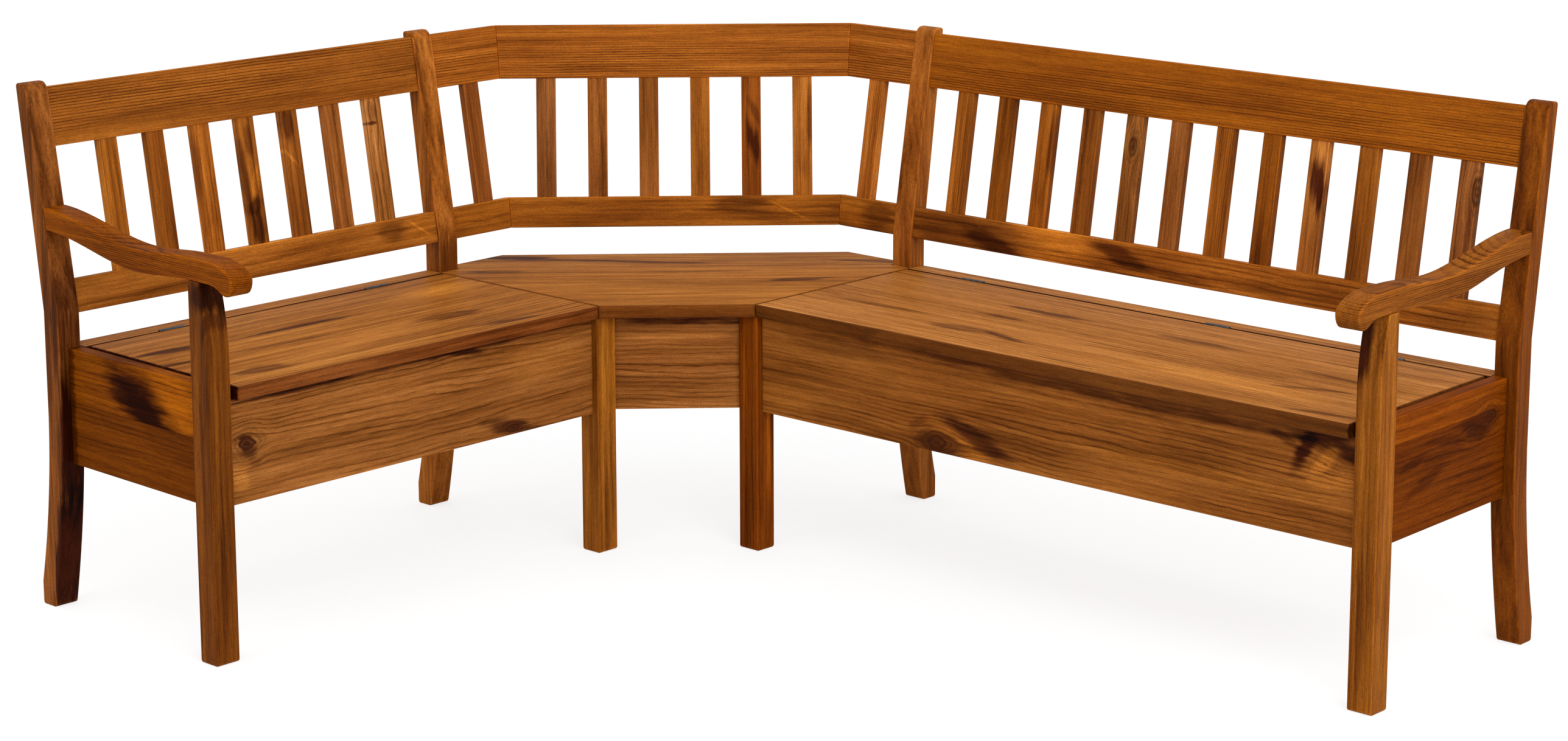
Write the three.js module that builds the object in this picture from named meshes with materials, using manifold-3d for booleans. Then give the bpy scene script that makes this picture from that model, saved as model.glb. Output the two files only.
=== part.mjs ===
import * as THREE from 'three';
import { mergeVertices } from 'three/addons/utils/BufferGeometryUtils.js';
import Module from 'manifold-3d';

const wasm = await Module();
wasm.setup();

// Driving dimensions in millimetres. Depth runs from the line of the front legs towards the back.
const seat_height = 450;
const seat_board = 23;
const seat_overhang = 6;
const seat_back_depth = 444.5;
const corner_seat_setback = 140.5;
const leg_width = 44;
const corner_setback = 153;
const long_clear_length = 1235;
const short_clear_length = 797;
const end_taper = 10;

// Back posts
const post_seat_lap = 33;
const post_seat_thickness = 38.5;
const post_top_thickness = 26;
const back_height = 436;
const post_bend_rise = 60;
const post_top_front_radius = 17;
const post_top_back_radius = 6;
const foot_kick = 39.5;
const foot_thickness = 36;
const foot_front_bend_height = 320;
const foot_back_bend_height = 330;
const foot_front_handle_height = 178;
const foot_back_straight_height = 40;
const foot_edge_cut = 3;

// Raked back
const rake_slope_share = 0.1664;
const rail_setback = 4;
const rail_thickness = 20;
const low_rail_bottom = 56.5;
const low_rail_width = 56.5;
const top_rail_drop = 8.3;
const top_rail_width = 99.4;
const slat_width = 36;
const slat_thickness = 15;
const slat_setback = 2.5;
const slat_pitch = 95.5;
const slat_tenon = 12;
const long_slats = 12;
const short_slats = 7;
const corner_slats = 6;
const side_slat_shift = 11;
const corner_back_setback = 132.9;

// Arms and their supports
const arm_width = 44;
const arm_thickness = 37;
const arm_back_rise = 235;
const arm_dip_depth = 180;
const arm_dip_rise = 202;
const arm_crest_depth = 46;
const arm_crest_rise = 210;
const arm_shoulder_depth = -6;
const arm_nose_reach = 68;
const arm_nose_mid_drop = 27;
const arm_nose_low_drop = 50.5;
const arm_nose_low_depth = -52;
const arm_nose_pull = 27;
const support_curve_rise = 55;
const support_top_setback = 18;

// Storage boxes
const panel_thickness = 22;
const panel_recess = 13;
const panel_bottom = 253;
const corner_panel_depth = -100;
const end_panel_thickness = 25;
const back_panel_setback = 8;
const batten_size = 18;
const box_bottom_thickness = 8;
const lid_end_gap = 8;
const lid_inner_gap = 2.5;
const seat_strip_width = 43;
const lid_seam_width = 3;

// Butt hinges
const hinge_length = 50;
const hinge_leaf_thickness = 1.3;
const hinge_leaf_height = 20;
const hinge_mortise_depth = 1.5;
const hinge_axis_rise = 0.5;
const hinge_barrel_radius = 2.6;
const hinge_bore_radius = 1.35;
const hinge_pin_radius = 1.28;
const hinge_middle_share = 0.4;
const long_hinge_shares = [0.13, 0.568, 0.848];
const short_hinge_shares = [0.205, 0.775];

// Edges and working gaps
const joint_gap = 0.3;
const edge_break = 1.5;
const small_edge_break = 0.8;
const curve_steps = 7;
const round_steps = 16;

// Colours
const frame_colour = '#9a5f26';
const panel_colour = '#8f5520';
const seat_colour = '#ad7440';
const inside_colour = '#a97c4e';
const hinge_colour = '#8d938f';

const rake = Math.atan(rake_slope_share);
const seat_underside = seat_height - seat_board;
const inner_leg_far = corner_setback + leg_width;
const lid_seam_depth = seat_back_depth - seat_strip_width - lid_seam_width / 2;
const top_rail_bottom = (back_height - top_rail_drop) / Math.cos(rake) - top_rail_width;
const post_front_depth = seat_back_depth - post_seat_lap;
const post_bend_height = seat_height + post_bend_rise;
const post_top_height = seat_height + back_height;
const corner_seat_back_depth = seat_back_depth - corner_seat_setback;
const arm_back_top = seat_height + arm_back_rise;
const arm_dip_top = seat_height + arm_dip_rise;
const arm_crest_top = seat_height + arm_crest_rise;
const arm_nose_mid_height = arm_crest_top - arm_nose_mid_drop;
const arm_nose_low_height = arm_crest_top - arm_nose_low_drop;
const support_curve_start = seat_height + support_curve_rise;
const rail_front_depth = post_front_depth + rail_setback
  - rake_slope_share * (post_bend_height - seat_height);
const corner_back_depth = rail_front_depth - corner_back_setback;

function railFrontAt(height) {
  return rail_front_depth + rake_slope_share * (height - seat_height);
}

function postFrontAt(height) {
  return Math.max(post_front_depth, railFrontAt(height) - rail_setback);
}

function wood(colour) {
  return new THREE.MeshStandardMaterial({ color: colour, roughness: 0.55, metalness: 0 });
}

function steel() {
  return new THREE.MeshStandardMaterial({ color: hinge_colour, roughness: 0.4, metalness: 0.9 });
}

function named(name, geometry, material) {
  const mesh = new THREE.Mesh(geometry, material);
  mesh.name = name;
  return mesh;
}

function closed(geometry) {
  geometry.deleteAttribute('normal');
  geometry.deleteAttribute('uv');
  const joined = mergeVertices(geometry);
  joined.computeVertexNormals();
  return joined;
}

// A shape drawn flat and given a thickness, with its long edges broken
function slab(shape, thickness, edge) {
  const geometry = new THREE.ExtrudeGeometry(shape, {
    depth: thickness - 2 * edge,
    bevelEnabled: true,
    bevelThickness: edge,
    bevelSize: edge,
    bevelOffset: -edge,
    bevelSegments: 1,
    curveSegments: curve_steps,
  });
  geometry.translate(0, 0, edge);
  return closed(geometry);
}

function outline(points) {
  return new THREE.Shape(points.map(([x, y]) => new THREE.Vector2(x, y)));
}

function rectangle(x_low, x_high, y_low, y_high) {
  return outline([[x_low, y_low], [x_high, y_low], [x_high, y_high], [x_low, y_high]]);
}

// A plate lying level, given its plan outline and its two heights
function plate(points, low, high, edge = edge_break) {
  const turned = THREE.ShapeUtils.area(points.map(([x, y]) => new THREE.Vector2(x, y))) < 0;
  const geometry = slab(outline(turned ? points.slice().reverse() : points), high - low, edge);
  geometry.translate(0, 0, low);
  return geometry;
}

function block(x_low, x_high, y_low, y_high, z_low, z_high, edge = edge_break) {
  return plate([[x_low, y_low], [x_high, y_low], [x_high, y_high], [x_low, y_high]], z_low, z_high, edge);
}

// A profile drawn in depth and height, given a width along the bench from a starting place
function upright(shape, start, width, edge = edge_break) {
  const geometry = slab(shape, width, edge);
  geometry.rotateX(Math.PI / 2);
  geometry.rotateZ(Math.PI / 2);
  geometry.translate(start, 0, 0);
  return geometry;
}

function solid(geometry) {
  const vertices = closed(geometry.clone());
  return new wasm.Manifold(new wasm.Mesh({
    numProp: 3,
    vertProperties: new Float32Array(vertices.attributes.position.array),
    triVerts: new Uint32Array(vertices.index.array),
  }));
}

function fromSolid(body) {
  const mesh = body.getMesh();
  const geometry = new THREE.BufferGeometry();
  geometry.setAttribute('position', new THREE.BufferAttribute(new Float32Array(mesh.vertProperties), 3));
  geometry.setIndex(new THREE.BufferAttribute(new Uint32Array(mesh.triVerts), 1));
  geometry.computeVertexNormals();
  return geometry;
}

function joined(geometries) {
  return fromSolid(geometries.map(solid).reduce((sum, body) => sum.add(body)));
}

function cut(geometry, tools) {
  return fromSolid(tools.map(solid).reduce((rest, body) => rest.subtract(body), solid(geometry)));
}

function barrel(radius, start, end) {
  const geometry = new THREE.CylinderGeometry(radius, radius, end - start, round_steps);
  geometry.rotateZ(Math.PI / 2);
  geometry.translate((start + end) / 2, 0, 0);
  return geometry;
}

// One bench drawn along +X: the corner is on the low side when side is 1, on the high side when it is -1
function benchPlaces(side, clear_length) {
  const inner = corner_setback;
  const outer = inner_leg_far + clear_length;
  const place = (along) => side * along;
  const span = (from, to) => (side > 0 ? [from, to] : [-to, -from]);
  const endLine = (depth, shift) => place(outer - end_taper * depth / post_front_depth + shift);
  return { side, inner, outer, place, span, endLine, post_outer: outer - end_taper };
}

// Inner front leg: a plain square leg that ends under the corner seat
function innerFrontLeg(name, bench) {
  const [low] = bench.span(bench.inner, bench.inner + leg_width);
  const top = seat_underside - joint_gap;
  const shape = outline([
    [foot_edge_cut, 0], [leg_width - foot_edge_cut, 0], [leg_width, foot_edge_cut],
    [leg_width, top], [0, top], [0, foot_edge_cut],
  ]);
  return named(name, upright(shape, low, leg_width), wood(frame_colour));
}

// Outer front leg: rises above the seat, its front face curving back under the arm
function outerFrontLeg(name, bench) {
  const [low] = bench.span(bench.outer, bench.outer + leg_width);
  const top = arm_crest_top - arm_thickness - joint_gap;
  const curve_middle = (support_curve_start + top) / 2;
  const shape = new THREE.Shape();
  shape.moveTo(foot_edge_cut, 0);
  shape.lineTo(leg_width - foot_edge_cut, 0);
  shape.lineTo(leg_width, foot_edge_cut);
  shape.lineTo(leg_width, top);
  shape.lineTo(support_top_setback, top);
  shape.quadraticCurveTo(edge_break, curve_middle, 0, support_curve_start);
  shape.lineTo(0, foot_edge_cut);
  shape.closePath();
  return named(name, upright(shape, low, leg_width), wood(frame_colour));
}

// Back post: foot swept back, upright at the seat, raked above it, with a rounded top
function backPost(name, bench, along) {
  const [low] = bench.span(along, along + leg_width);
  const seat_back = post_front_depth + post_seat_thickness;
  const foot_front = post_front_depth + foot_kick;
  const foot_back = foot_front + foot_thickness;
  const top_front = postFrontAt(post_top_height);
  const top_back = top_front + post_top_thickness;
  const front_turn = post_top_height - post_top_front_radius;
  const back_turn = post_top_height - post_top_back_radius;
  const shape = new THREE.Shape();
  shape.moveTo(foot_front + foot_edge_cut, 0);
  shape.lineTo(foot_back - foot_edge_cut, 0);
  shape.lineTo(foot_back, foot_edge_cut);
  shape.lineTo(foot_back, foot_back_straight_height);
  shape.quadraticCurveTo(seat_back + foot_edge_cut, (foot_back_bend_height + foot_back_straight_height) / 2,
    seat_back, foot_back_bend_height);
  shape.lineTo(seat_back, post_bend_height);
  shape.lineTo(top_back, back_turn);
  shape.quadraticCurveTo(top_back, post_top_height, top_back - post_top_back_radius, post_top_height);
  shape.lineTo(top_front + post_top_front_radius / 2 + foot_edge_cut, post_top_height);
  shape.quadraticCurveTo(top_front, post_top_height - foot_edge_cut, postFrontAt(front_turn), front_turn);
  shape.lineTo(post_front_depth, post_bend_height);
  shape.lineTo(post_front_depth, foot_front_bend_height);
  shape.quadraticCurveTo(post_front_depth + foot_edge_cut, foot_front_handle_height, foot_front, foot_edge_cut);
  shape.closePath();
  return named(name, upright(shape, low, leg_width), wood(frame_colour));
}

// A smooth rise or fall between two level places of a curved line
function sway(shape, from_depth, from_height, to_depth, to_height) {
  const third = (to_depth - from_depth) / 3;
  shape.bezierCurveTo(from_depth + third, from_height, to_depth - third, to_height, to_depth, to_height);
}

// Arm: an S-curve from the back post to a rounded nose in front of its support
function arm(name, bench) {
  const under = (height) => height - arm_thickness;
  const [low] = bench.span(bench.outer, bench.outer + arm_width);
  const back_high = postFrontAt(arm_back_top) - joint_gap;
  const back_low = postFrontAt(under(arm_back_top)) - joint_gap;
  const shape = new THREE.Shape();
  shape.moveTo(back_high, arm_back_top);
  sway(shape, back_high, arm_back_top, arm_dip_depth, arm_dip_top);
  sway(shape, arm_dip_depth, arm_dip_top, arm_crest_depth, arm_crest_top);
  shape.lineTo(arm_shoulder_depth, arm_crest_top);
  shape.bezierCurveTo(arm_shoulder_depth - arm_nose_pull, arm_crest_top,
    -arm_nose_reach, arm_nose_mid_height + arm_nose_pull / 2, -arm_nose_reach, arm_nose_mid_height);
  shape.bezierCurveTo(-arm_nose_reach, arm_nose_mid_height - arm_nose_pull / 2,
    arm_nose_low_depth - arm_nose_pull / 3, arm_nose_low_height, arm_nose_low_depth, arm_nose_low_height);
  shape.bezierCurveTo(arm_nose_low_depth + arm_nose_pull / 2, arm_nose_low_height,
    arm_shoulder_depth - arm_nose_pull, under(arm_crest_top), arm_shoulder_depth, under(arm_crest_top));
  shape.lineTo(arm_crest_depth, under(arm_crest_top));
  sway(shape, arm_crest_depth, under(arm_crest_top), arm_dip_depth, under(arm_dip_top));
  sway(shape, arm_dip_depth, under(arm_dip_top), back_low, under(arm_back_top));
  shape.closePath();
  const geometry = upright(shape, low, arm_width);
  const lean = -bench.side * end_taper / post_front_depth;
  geometry.applyMatrix4(new THREE.Matrix4().makeShear(0, 0, lean, 0, 0, 0));
  return named(name, closed(geometry), wood(frame_colour));
}

// The box under one seat: four panels, two battens and the bottom they carry
function storageBox(prefix, bench) {
  const top = seat_underside - joint_gap;
  const inner_face = inner_leg_far - joint_gap;
  const [front_low, front_high] = bench.span(inner_leg_far + joint_gap, bench.outer - joint_gap);
  const back_depth = post_front_depth + back_panel_setback;
  const [back_low, back_high] = bench.span(inner_leg_far + joint_gap, bench.post_outer - joint_gap);
  const [end_low, end_high] = bench.span(inner_face - panel_thickness, inner_face);
  const end_front = leg_width + joint_gap;
  const end_back = post_front_depth - joint_gap;
  const front_inside = panel_recess + panel_thickness + joint_gap;
  const back_inside = back_depth - joint_gap;
  const rest = panel_bottom + batten_size + joint_gap;
  const inside = bench.place(inner_leg_far + joint_gap);
  const end_panel = [
    [bench.endLine(end_front, 0), end_front],
    [bench.endLine(end_back, 0), end_back],
    [bench.endLine(end_back, end_panel_thickness), end_back],
    [bench.endLine(end_front, end_panel_thickness), end_front],
  ];
  const batten_end = bench.endLine(back_inside, -joint_gap);
  const floor = [
    [inside, front_inside],
    [bench.endLine(front_inside, -joint_gap), front_inside],
    [bench.endLine(back_inside, -joint_gap), back_inside],
    [inside, back_inside],
  ];
  const strip = (depth) => plate([
    [inside, depth], [batten_end, depth], [batten_end, depth + batten_size], [inside, depth + batten_size],
  ], panel_bottom, panel_bottom + batten_size, small_edge_break);
  return [
    named(`${prefix}_front_panel`, block(front_low, front_high, panel_recess,
      panel_recess + panel_thickness, panel_bottom, top), wood(panel_colour)),
    named(`${prefix}_back_panel`, block(back_low, back_high, back_depth,
      back_depth + panel_thickness, panel_bottom, top), wood(panel_colour)),
    named(`${prefix}_inner_end_panel`, block(end_low, end_high, end_front, end_back,
      panel_bottom, top), wood(panel_colour)),
    named(`${prefix}_outer_end_panel`, plate(end_panel, panel_bottom, seat_height), wood(panel_colour)),
    named(`${prefix}_front_batten`, strip(front_inside), wood(inside_colour)),
    named(`${prefix}_back_batten`, strip(back_inside - batten_size), wood(inside_colour)),
    named(`${prefix}_box_bottom`, plate(floor, rest, rest + box_bottom_thickness, small_edge_break),
      wood(inside_colour)),
  ];
}

// Where the hinges of one lid are, measured along the bench
function hingePlaces(bench, shares) {
  const length = bench.outer - lid_end_gap - inner_leg_far;
  return shares.map((share) => bench.place(inner_leg_far + share * length));
}

// Recess for a hinge in the edges of lid and strip
function hingeRecess(middle) {
  const half = hinge_length / 2 + joint_gap;
  const reach = lid_seam_width / 2 + hinge_mortise_depth;
  const height = hinge_leaf_height + joint_gap;
  return block(middle - half, middle + half, lid_seam_depth - reach, lid_seam_depth + reach,
    seat_height - height, seat_height + height, joint_gap / 3);
}

// Seat of one bench: a hinged lid and the fixed strip behind it
function seatBoards(prefix, bench, shares) {
  const recesses = hingePlaces(bench, shares).map(hingeRecess);
  const lid_back = lid_seam_depth - lid_seam_width / 2;
  const strip_front = lid_seam_depth + lid_seam_width / 2;
  const lid_inner = bench.place(inner_leg_far + lid_inner_gap);
  const lid = plate([
    [lid_inner, -seat_overhang],
    [bench.endLine(-seat_overhang, -lid_end_gap), -seat_overhang],
    [bench.endLine(lid_back, -lid_end_gap), lid_back],
    [lid_inner, lid_back],
  ], seat_underside, seat_height);
  const strip = plate([
    [bench.place(inner_leg_far + joint_gap), strip_front],
    [bench.place(bench.post_outer - joint_gap), strip_front],
    [bench.place(bench.post_outer - joint_gap), seat_back_depth],
    [bench.place(inner_leg_far + joint_gap), seat_back_depth],
  ], seat_underside, seat_height);
  return [
    named(`${prefix}_lid`, cut(lid, recesses), wood(seat_colour)),
    named(`${prefix}_seat_strip`, cut(strip, recesses), wood(seat_colour)),
  ];
}

// One butt hinge: a fixed leaf with the pin and the outer knuckles, and a lid leaf with the middle knuckle
function hinge(prefix, number, middle) {
  const half = hinge_length / 2;
  const knuckle = hinge_length * hinge_middle_share / 2;
  const back = lid_seam_width / 2 + hinge_mortise_depth - joint_gap / 3;
  const leaf_low = -hinge_axis_rise - hinge_leaf_height;
  const edge = joint_gap / 3;
  const knuckle_gap = joint_gap / 2;
  const rise = hinge_axis_rise;
  const fixed_leaf = block(-half, half, back - hinge_leaf_thickness, back, leaf_low, 0, edge);
  const notch = block(-knuckle - knuckle_gap, knuckle + knuckle_gap, 0, back + rise, -hinge_barrel_radius - rise,
    hinge_barrel_radius, edge);
  const fixed = joined([
    cut(fixed_leaf, [notch]),
    barrel(hinge_barrel_radius, -half, -knuckle - knuckle_gap),
    barrel(hinge_barrel_radius, knuckle + knuckle_gap, half),
    barrel(hinge_pin_radius, -half + rise, half - rise),
  ]);
  const lid_leaf = block(-half, half, -back, -back + hinge_leaf_thickness, leaf_low, 0, edge);
  const side_notches = [-1, 1].map((way) => block(
    way * (half + knuckle) / 2 - (half - knuckle) / 2 - (way < 0 ? rise : knuckle_gap),
    way * (half + knuckle) / 2 + (half - knuckle) / 2 + (way < 0 ? knuckle_gap : rise),
    -back - rise, 0, -hinge_barrel_radius - rise, hinge_barrel_radius, edge));
  const moving = cut(joined([
    cut(lid_leaf, side_notches),
    barrel(hinge_barrel_radius, -knuckle + knuckle_gap, knuckle - knuckle_gap),
  ]), [barrel(hinge_bore_radius, -half, half)]);
  return [
    named(`${prefix}_hinge_${number}_fixed_leaf`, fixed, steel()),
    named(`${prefix}_hinge_${number}_lid_leaf`, moving, steel()),
  ].map((mesh) => {
    mesh.position.set(middle, lid_seam_depth, seat_height + hinge_axis_rise);
    return mesh;
  });
}

// The tilted plane of a back: level lines stay level, upright lines lean by the rake
function rakedPlane(depth) {
  const plane = new THREE.Group();
  plane.position.set(0, depth, seat_height);
  plane.rotation.x = -rake;
  return plane;
}

function slat(middle, low, high) {
  return block(middle - slat_width / 2, middle + slat_width / 2, slat_setback,
    slat_setback + slat_thickness, low, high, small_edge_break);
}

function slatMiddles(count, centre) {
  return Array.from({ length: count }, (unused, i) => centre + (i - (count - 1) / 2) * slat_pitch);
}

// Back of one bench: the top rail, and the lower rail with the slats that stand in it
function benchBack(prefix, bench, count) {
  const plane = rakedPlane(rail_front_depth);
  const [low, high] = bench.span(inner_leg_far + joint_gap, bench.post_outer - joint_gap);
  const low_rail_top = low_rail_bottom + low_rail_width;
  const slats = slatMiddles(count, (low + high) / 2)
    .map((middle) => slat(middle, low_rail_top - slat_tenon, top_rail_bottom - joint_gap));
  plane.add(
    named(`${prefix}_top_rail`, block(low, high, 0, rail_thickness, top_rail_bottom,
      top_rail_bottom + top_rail_width), wood(frame_colour)),
    named(`${prefix}_low_rail_with_slats`, joined([
      block(low, high, 0, rail_thickness, low_rail_bottom, low_rail_top), ...slats,
    ]), wood(frame_colour)),
  );
  return plane;
}

function buildBench(prefix, side, clear_length, slat_count, shares) {
  const bench = benchPlaces(side, clear_length);
  const group = new THREE.Group();
  group.add(
    outerFrontLeg(`${prefix}_outer_front_leg`, bench),
    innerFrontLeg(`${prefix}_inner_front_leg`, bench),
    backPost(`${prefix}_outer_back_post`, bench, bench.post_outer),
    backPost(`${prefix}_inner_back_post`, bench, bench.inner),
    arm(`${prefix}_arm`, bench),
    ...storageBox(prefix, bench),
    ...seatBoards(prefix, bench, shares),
    benchBack(prefix, bench, slat_count),
  );
  hingePlaces(bench, shares).forEach((middle, i) => group.add(...hinge(prefix, i + 1, middle)));
  return group;
}

// A straight board in a tilted back plane, cut at each end by an upright plane.
// Each end gives, for a depth in the board and a height, the place along the board.
function mitredBoard(low, high, startAt, endAt) {
  const corners = [];
  for (const height of [low, high]) {
    for (const depth of [0, rail_thickness]) {
      corners.push([startAt(depth, height), depth, height], [endAt(depth, height), depth, height]);
    }
  }
  const faces = [
    [0, 2, 3, 1], [4, 5, 7, 6], [0, 1, 5, 4], [2, 6, 7, 3], [0, 4, 6, 2], [1, 3, 7, 5],
  ];
  const geometry = new THREE.BufferGeometry();
  geometry.setAttribute('position', new THREE.BufferAttribute(new Float32Array(corners.flat()), 3));
  geometry.setIndex(faces.flatMap(([a, b, c, d]) => [a, b, c, a, c, d]));
  geometry.computeVertexNormals();
  return geometry;
}

// How far a point of a tilted board lies behind the level line of its plane at seat height
function levelDepth(depth, height) {
  return depth * Math.cos(rake) + height * Math.sin(rake);
}

// The corner's back: two narrow rails in line with the benches and a slanted one between them
function cornerBack() {
  const turn = Math.PI / 4;
  const slant = new THREE.Group();
  slant.rotation.z = turn;
  const slant_plane = rakedPlane(corner_back_depth);
  const half_turn = Math.tan(turn / 2);
  const meeting = rail_front_depth - corner_back_depth * Math.SQRT2;
  const slant_end = (rail_front_depth - corner_back_depth * Math.cos(turn)) / Math.sin(turn);
  const mitre_gap = joint_gap / 2;
  const slantEnd = (way) => (depth, height) => way
    * (slant_end + levelDepth(depth, height) * half_turn - mitre_gap);
  const levels = [
    ['top', top_rail_bottom, top_rail_bottom + top_rail_width],
    ['low', low_rail_bottom, low_rail_bottom + low_rail_width],
  ];
  for (const [level, low, high] of levels) {
    slant_plane.add(named(`corner_${level}_rail_slanted`,
      mitredBoard(low, high, slantEnd(-1), slantEnd(1)), wood(frame_colour)));
  }
  const slat_low = low_rail_bottom + low_rail_width + joint_gap;
  const slat_high = top_rail_bottom - joint_gap;
  slatMiddles(corner_slats, 0).forEach((middle, i) => {
    slant_plane.add(named(`corner_slat_${i + 1}`, slat(middle, slat_low, slat_high), wood(frame_colour)));
  });
  slant.add(slant_plane);
  const group = new THREE.Group();
  group.add(slant);
  for (const [word, side] of [['long', 1], ['short', -1]]) {
    const wing = new THREE.Group();
    wing.rotation.z = side > 0 ? 0 : Math.PI / 2;
    const plane = rakedPlane(rail_front_depth);
    const post_face = side * (corner_setback - joint_gap);
    const mitre = (depth, height) => side * (meeting - levelDepth(depth, height) * half_turn + mitre_gap);
    const post = () => post_face;
    for (const [level, low, high] of levels) {
      plane.add(named(`corner_${level}_rail_${word}_side`,
        side > 0 ? mitredBoard(low, high, mitre, post) : mitredBoard(low, high, post, mitre),
        wood(frame_colour)));
    }
    const middle_height = (slat_low + slat_high) / 2;
    const middle = (post_face + mitre(0, middle_height)) / 2 - side * side_slat_shift;
    plane.add(named(`corner_slat_${word}_side`, slat(middle, slat_low, slat_high), wood(frame_colour)));
    wing.add(plane);
    group.add(wing);
  }
  return group;
}

// Corner seat: one plate from the front of both benches to the corner's back, cut round the inner posts
function cornerSeat() {
  const far = inner_leg_far;
  const front = seat_overhang;
  const post_front = post_front_depth - joint_gap;
  const post_side = corner_setback - joint_gap;
  const back = seat_back_depth;
  const turn = corner_seat_back_depth * Math.SQRT2 - back;
  const half = [
    [far, -front], [far, post_front], [post_side, post_front], [post_side, back], [-turn, back],
  ];
  const other = half.slice().reverse().map(([x, y]) => [-y, -x]);
  return named('corner_seat', plate([...half, ...other], seat_underside, seat_height), wood(seat_colour));
}

// Slanted panel below the corner seat, between the two inner front legs
function cornerFrontPanel() {
  const face = corner_setback - joint_gap;
  const front = corner_panel_depth * Math.SQRT2;
  const back = (corner_panel_depth + panel_thickness) * Math.SQRT2;
  const points = [
    [face, face + front], [face, face + back], [-face - back, -face], [-face - front, -face],
  ];
  return named('corner_front_panel', plate(points, panel_bottom, seat_underside - joint_gap),
    wood(panel_colour));
}

// Batten that carries one side of the corner seat, fixed to the end panel of that side's box
function cornerBatten(name, side) {
  const panel_face = inner_leg_far - joint_gap - panel_thickness;
  const [low, high] = [panel_face - joint_gap - batten_size, panel_face - joint_gap];
  const top = seat_underside - joint_gap;
  const [front, back] = [leg_width + joint_gap, post_front_depth - joint_gap];
  const geometry = side > 0
    ? block(low, high, front, back, top - batten_size, top, small_edge_break)
    : block(-back, -front, -high, -low, top - batten_size, top, small_edge_break);
  return named(name, geometry, wood(inside_colour));
}

const bench = new THREE.Group();
const short_bench = buildBench('short', -1, short_clear_length, short_slats, short_hinge_shares);
short_bench.rotation.z = Math.PI / 2;
bench.add(
  buildBench('long', 1, long_clear_length, long_slats, long_hinge_shares),
  short_bench,
  cornerBack(),
  cornerSeat(),
  cornerFrontPanel(),
  cornerBatten('corner_batten_long_side', 1),
  cornerBatten('corner_batten_short_side', -1),
);

// The origin is the middle of the whole outline, on the floor
const whole = new THREE.Group();
whole.add(bench);
whole.updateMatrixWorld(true);
const bounds = new THREE.Box3().setFromObject(bench, true);
const middle = bounds.getCenter(new THREE.Vector3());
bench.position.set(-middle.x, -middle.y, -bounds.min.z);
whole.updateMatrixWorld(true);

export default whole;
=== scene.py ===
import math

import bmesh
import bpy
from mathutils import Matrix, Vector


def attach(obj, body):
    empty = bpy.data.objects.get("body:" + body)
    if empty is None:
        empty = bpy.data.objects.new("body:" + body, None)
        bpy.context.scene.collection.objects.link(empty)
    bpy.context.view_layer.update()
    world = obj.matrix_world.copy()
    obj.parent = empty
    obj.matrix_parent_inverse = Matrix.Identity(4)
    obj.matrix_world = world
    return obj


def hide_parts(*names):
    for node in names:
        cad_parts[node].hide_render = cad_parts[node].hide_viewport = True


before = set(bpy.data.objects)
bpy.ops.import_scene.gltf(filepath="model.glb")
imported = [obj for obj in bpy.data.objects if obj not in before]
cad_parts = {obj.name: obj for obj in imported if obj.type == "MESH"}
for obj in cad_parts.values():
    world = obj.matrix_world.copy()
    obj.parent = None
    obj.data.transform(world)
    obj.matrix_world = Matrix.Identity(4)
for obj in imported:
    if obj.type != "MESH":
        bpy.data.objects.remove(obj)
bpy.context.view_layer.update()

# Top rails.
# Five planed boards of honey-stained softwood with fine straight lines: one on each bench between its
# posts, and three mitred ones round the corner. Each leans back with the posts it is dowelled to.
ORIGIN = Vector((-0.488775, 0.269775, 0))
UP = Vector((0, 0, 1))
ALONG = {"long": Vector((1, 0, 0)), "short": Vector((0, -1, 0)), "slant": Vector((1, 1, 0)).normalized()}
BACK = {"long": Vector((0, 1, 0)), "short": Vector((-1, 0, 0)), "slant": Vector((-1, 1, 0)).normalized()}
OUTER = {"long": 1.432, "short": 0.994}
INNER = 0.153
LEG = 0.044
GAP = 0.0003
POST_FRONT = 0.4115
END_STEP = 0.01
TAPER = END_STEP / POST_FRONT
LEAN = 0.1664
RAKE = math.atan(LEAN)
RAIL_DEPTH = {"long": 0.405516, "short": 0.405516, "slant": 0.272616}
HALF_TURN = math.tan(math.pi / 8)
SEAT_TOP = 0.45


def spot(side, along, depth, height):
    """A point of one bench: along it from the corner, back from the line of its front legs, and up."""
    return ORIGIN + ALONG[side] * along + BACK[side] * depth + UP * height


def raked(side, along, rise, back):
    """A point in the leaning plane of a back, from the front of its rails at the height of the seat."""
    depth = RAIL_DEPTH[side] + rise * math.sin(RAKE) + back * math.cos(RAKE)
    return spot(side, along, depth, SEAT_TOP + rise * math.cos(RAKE) - back * math.sin(RAKE))


def tint(red, green, blue, share=1.0):
    """A screen colour from 0 to 255 as the light it stands for."""
    values = (max(0.0, c * share) / 255 for c in (red, green, blue))
    return [c / 12.92 if c <= 0.04045 else ((c + 0.055) / 1.055) ** 2.4 for c in values] + [1.0]


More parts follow.
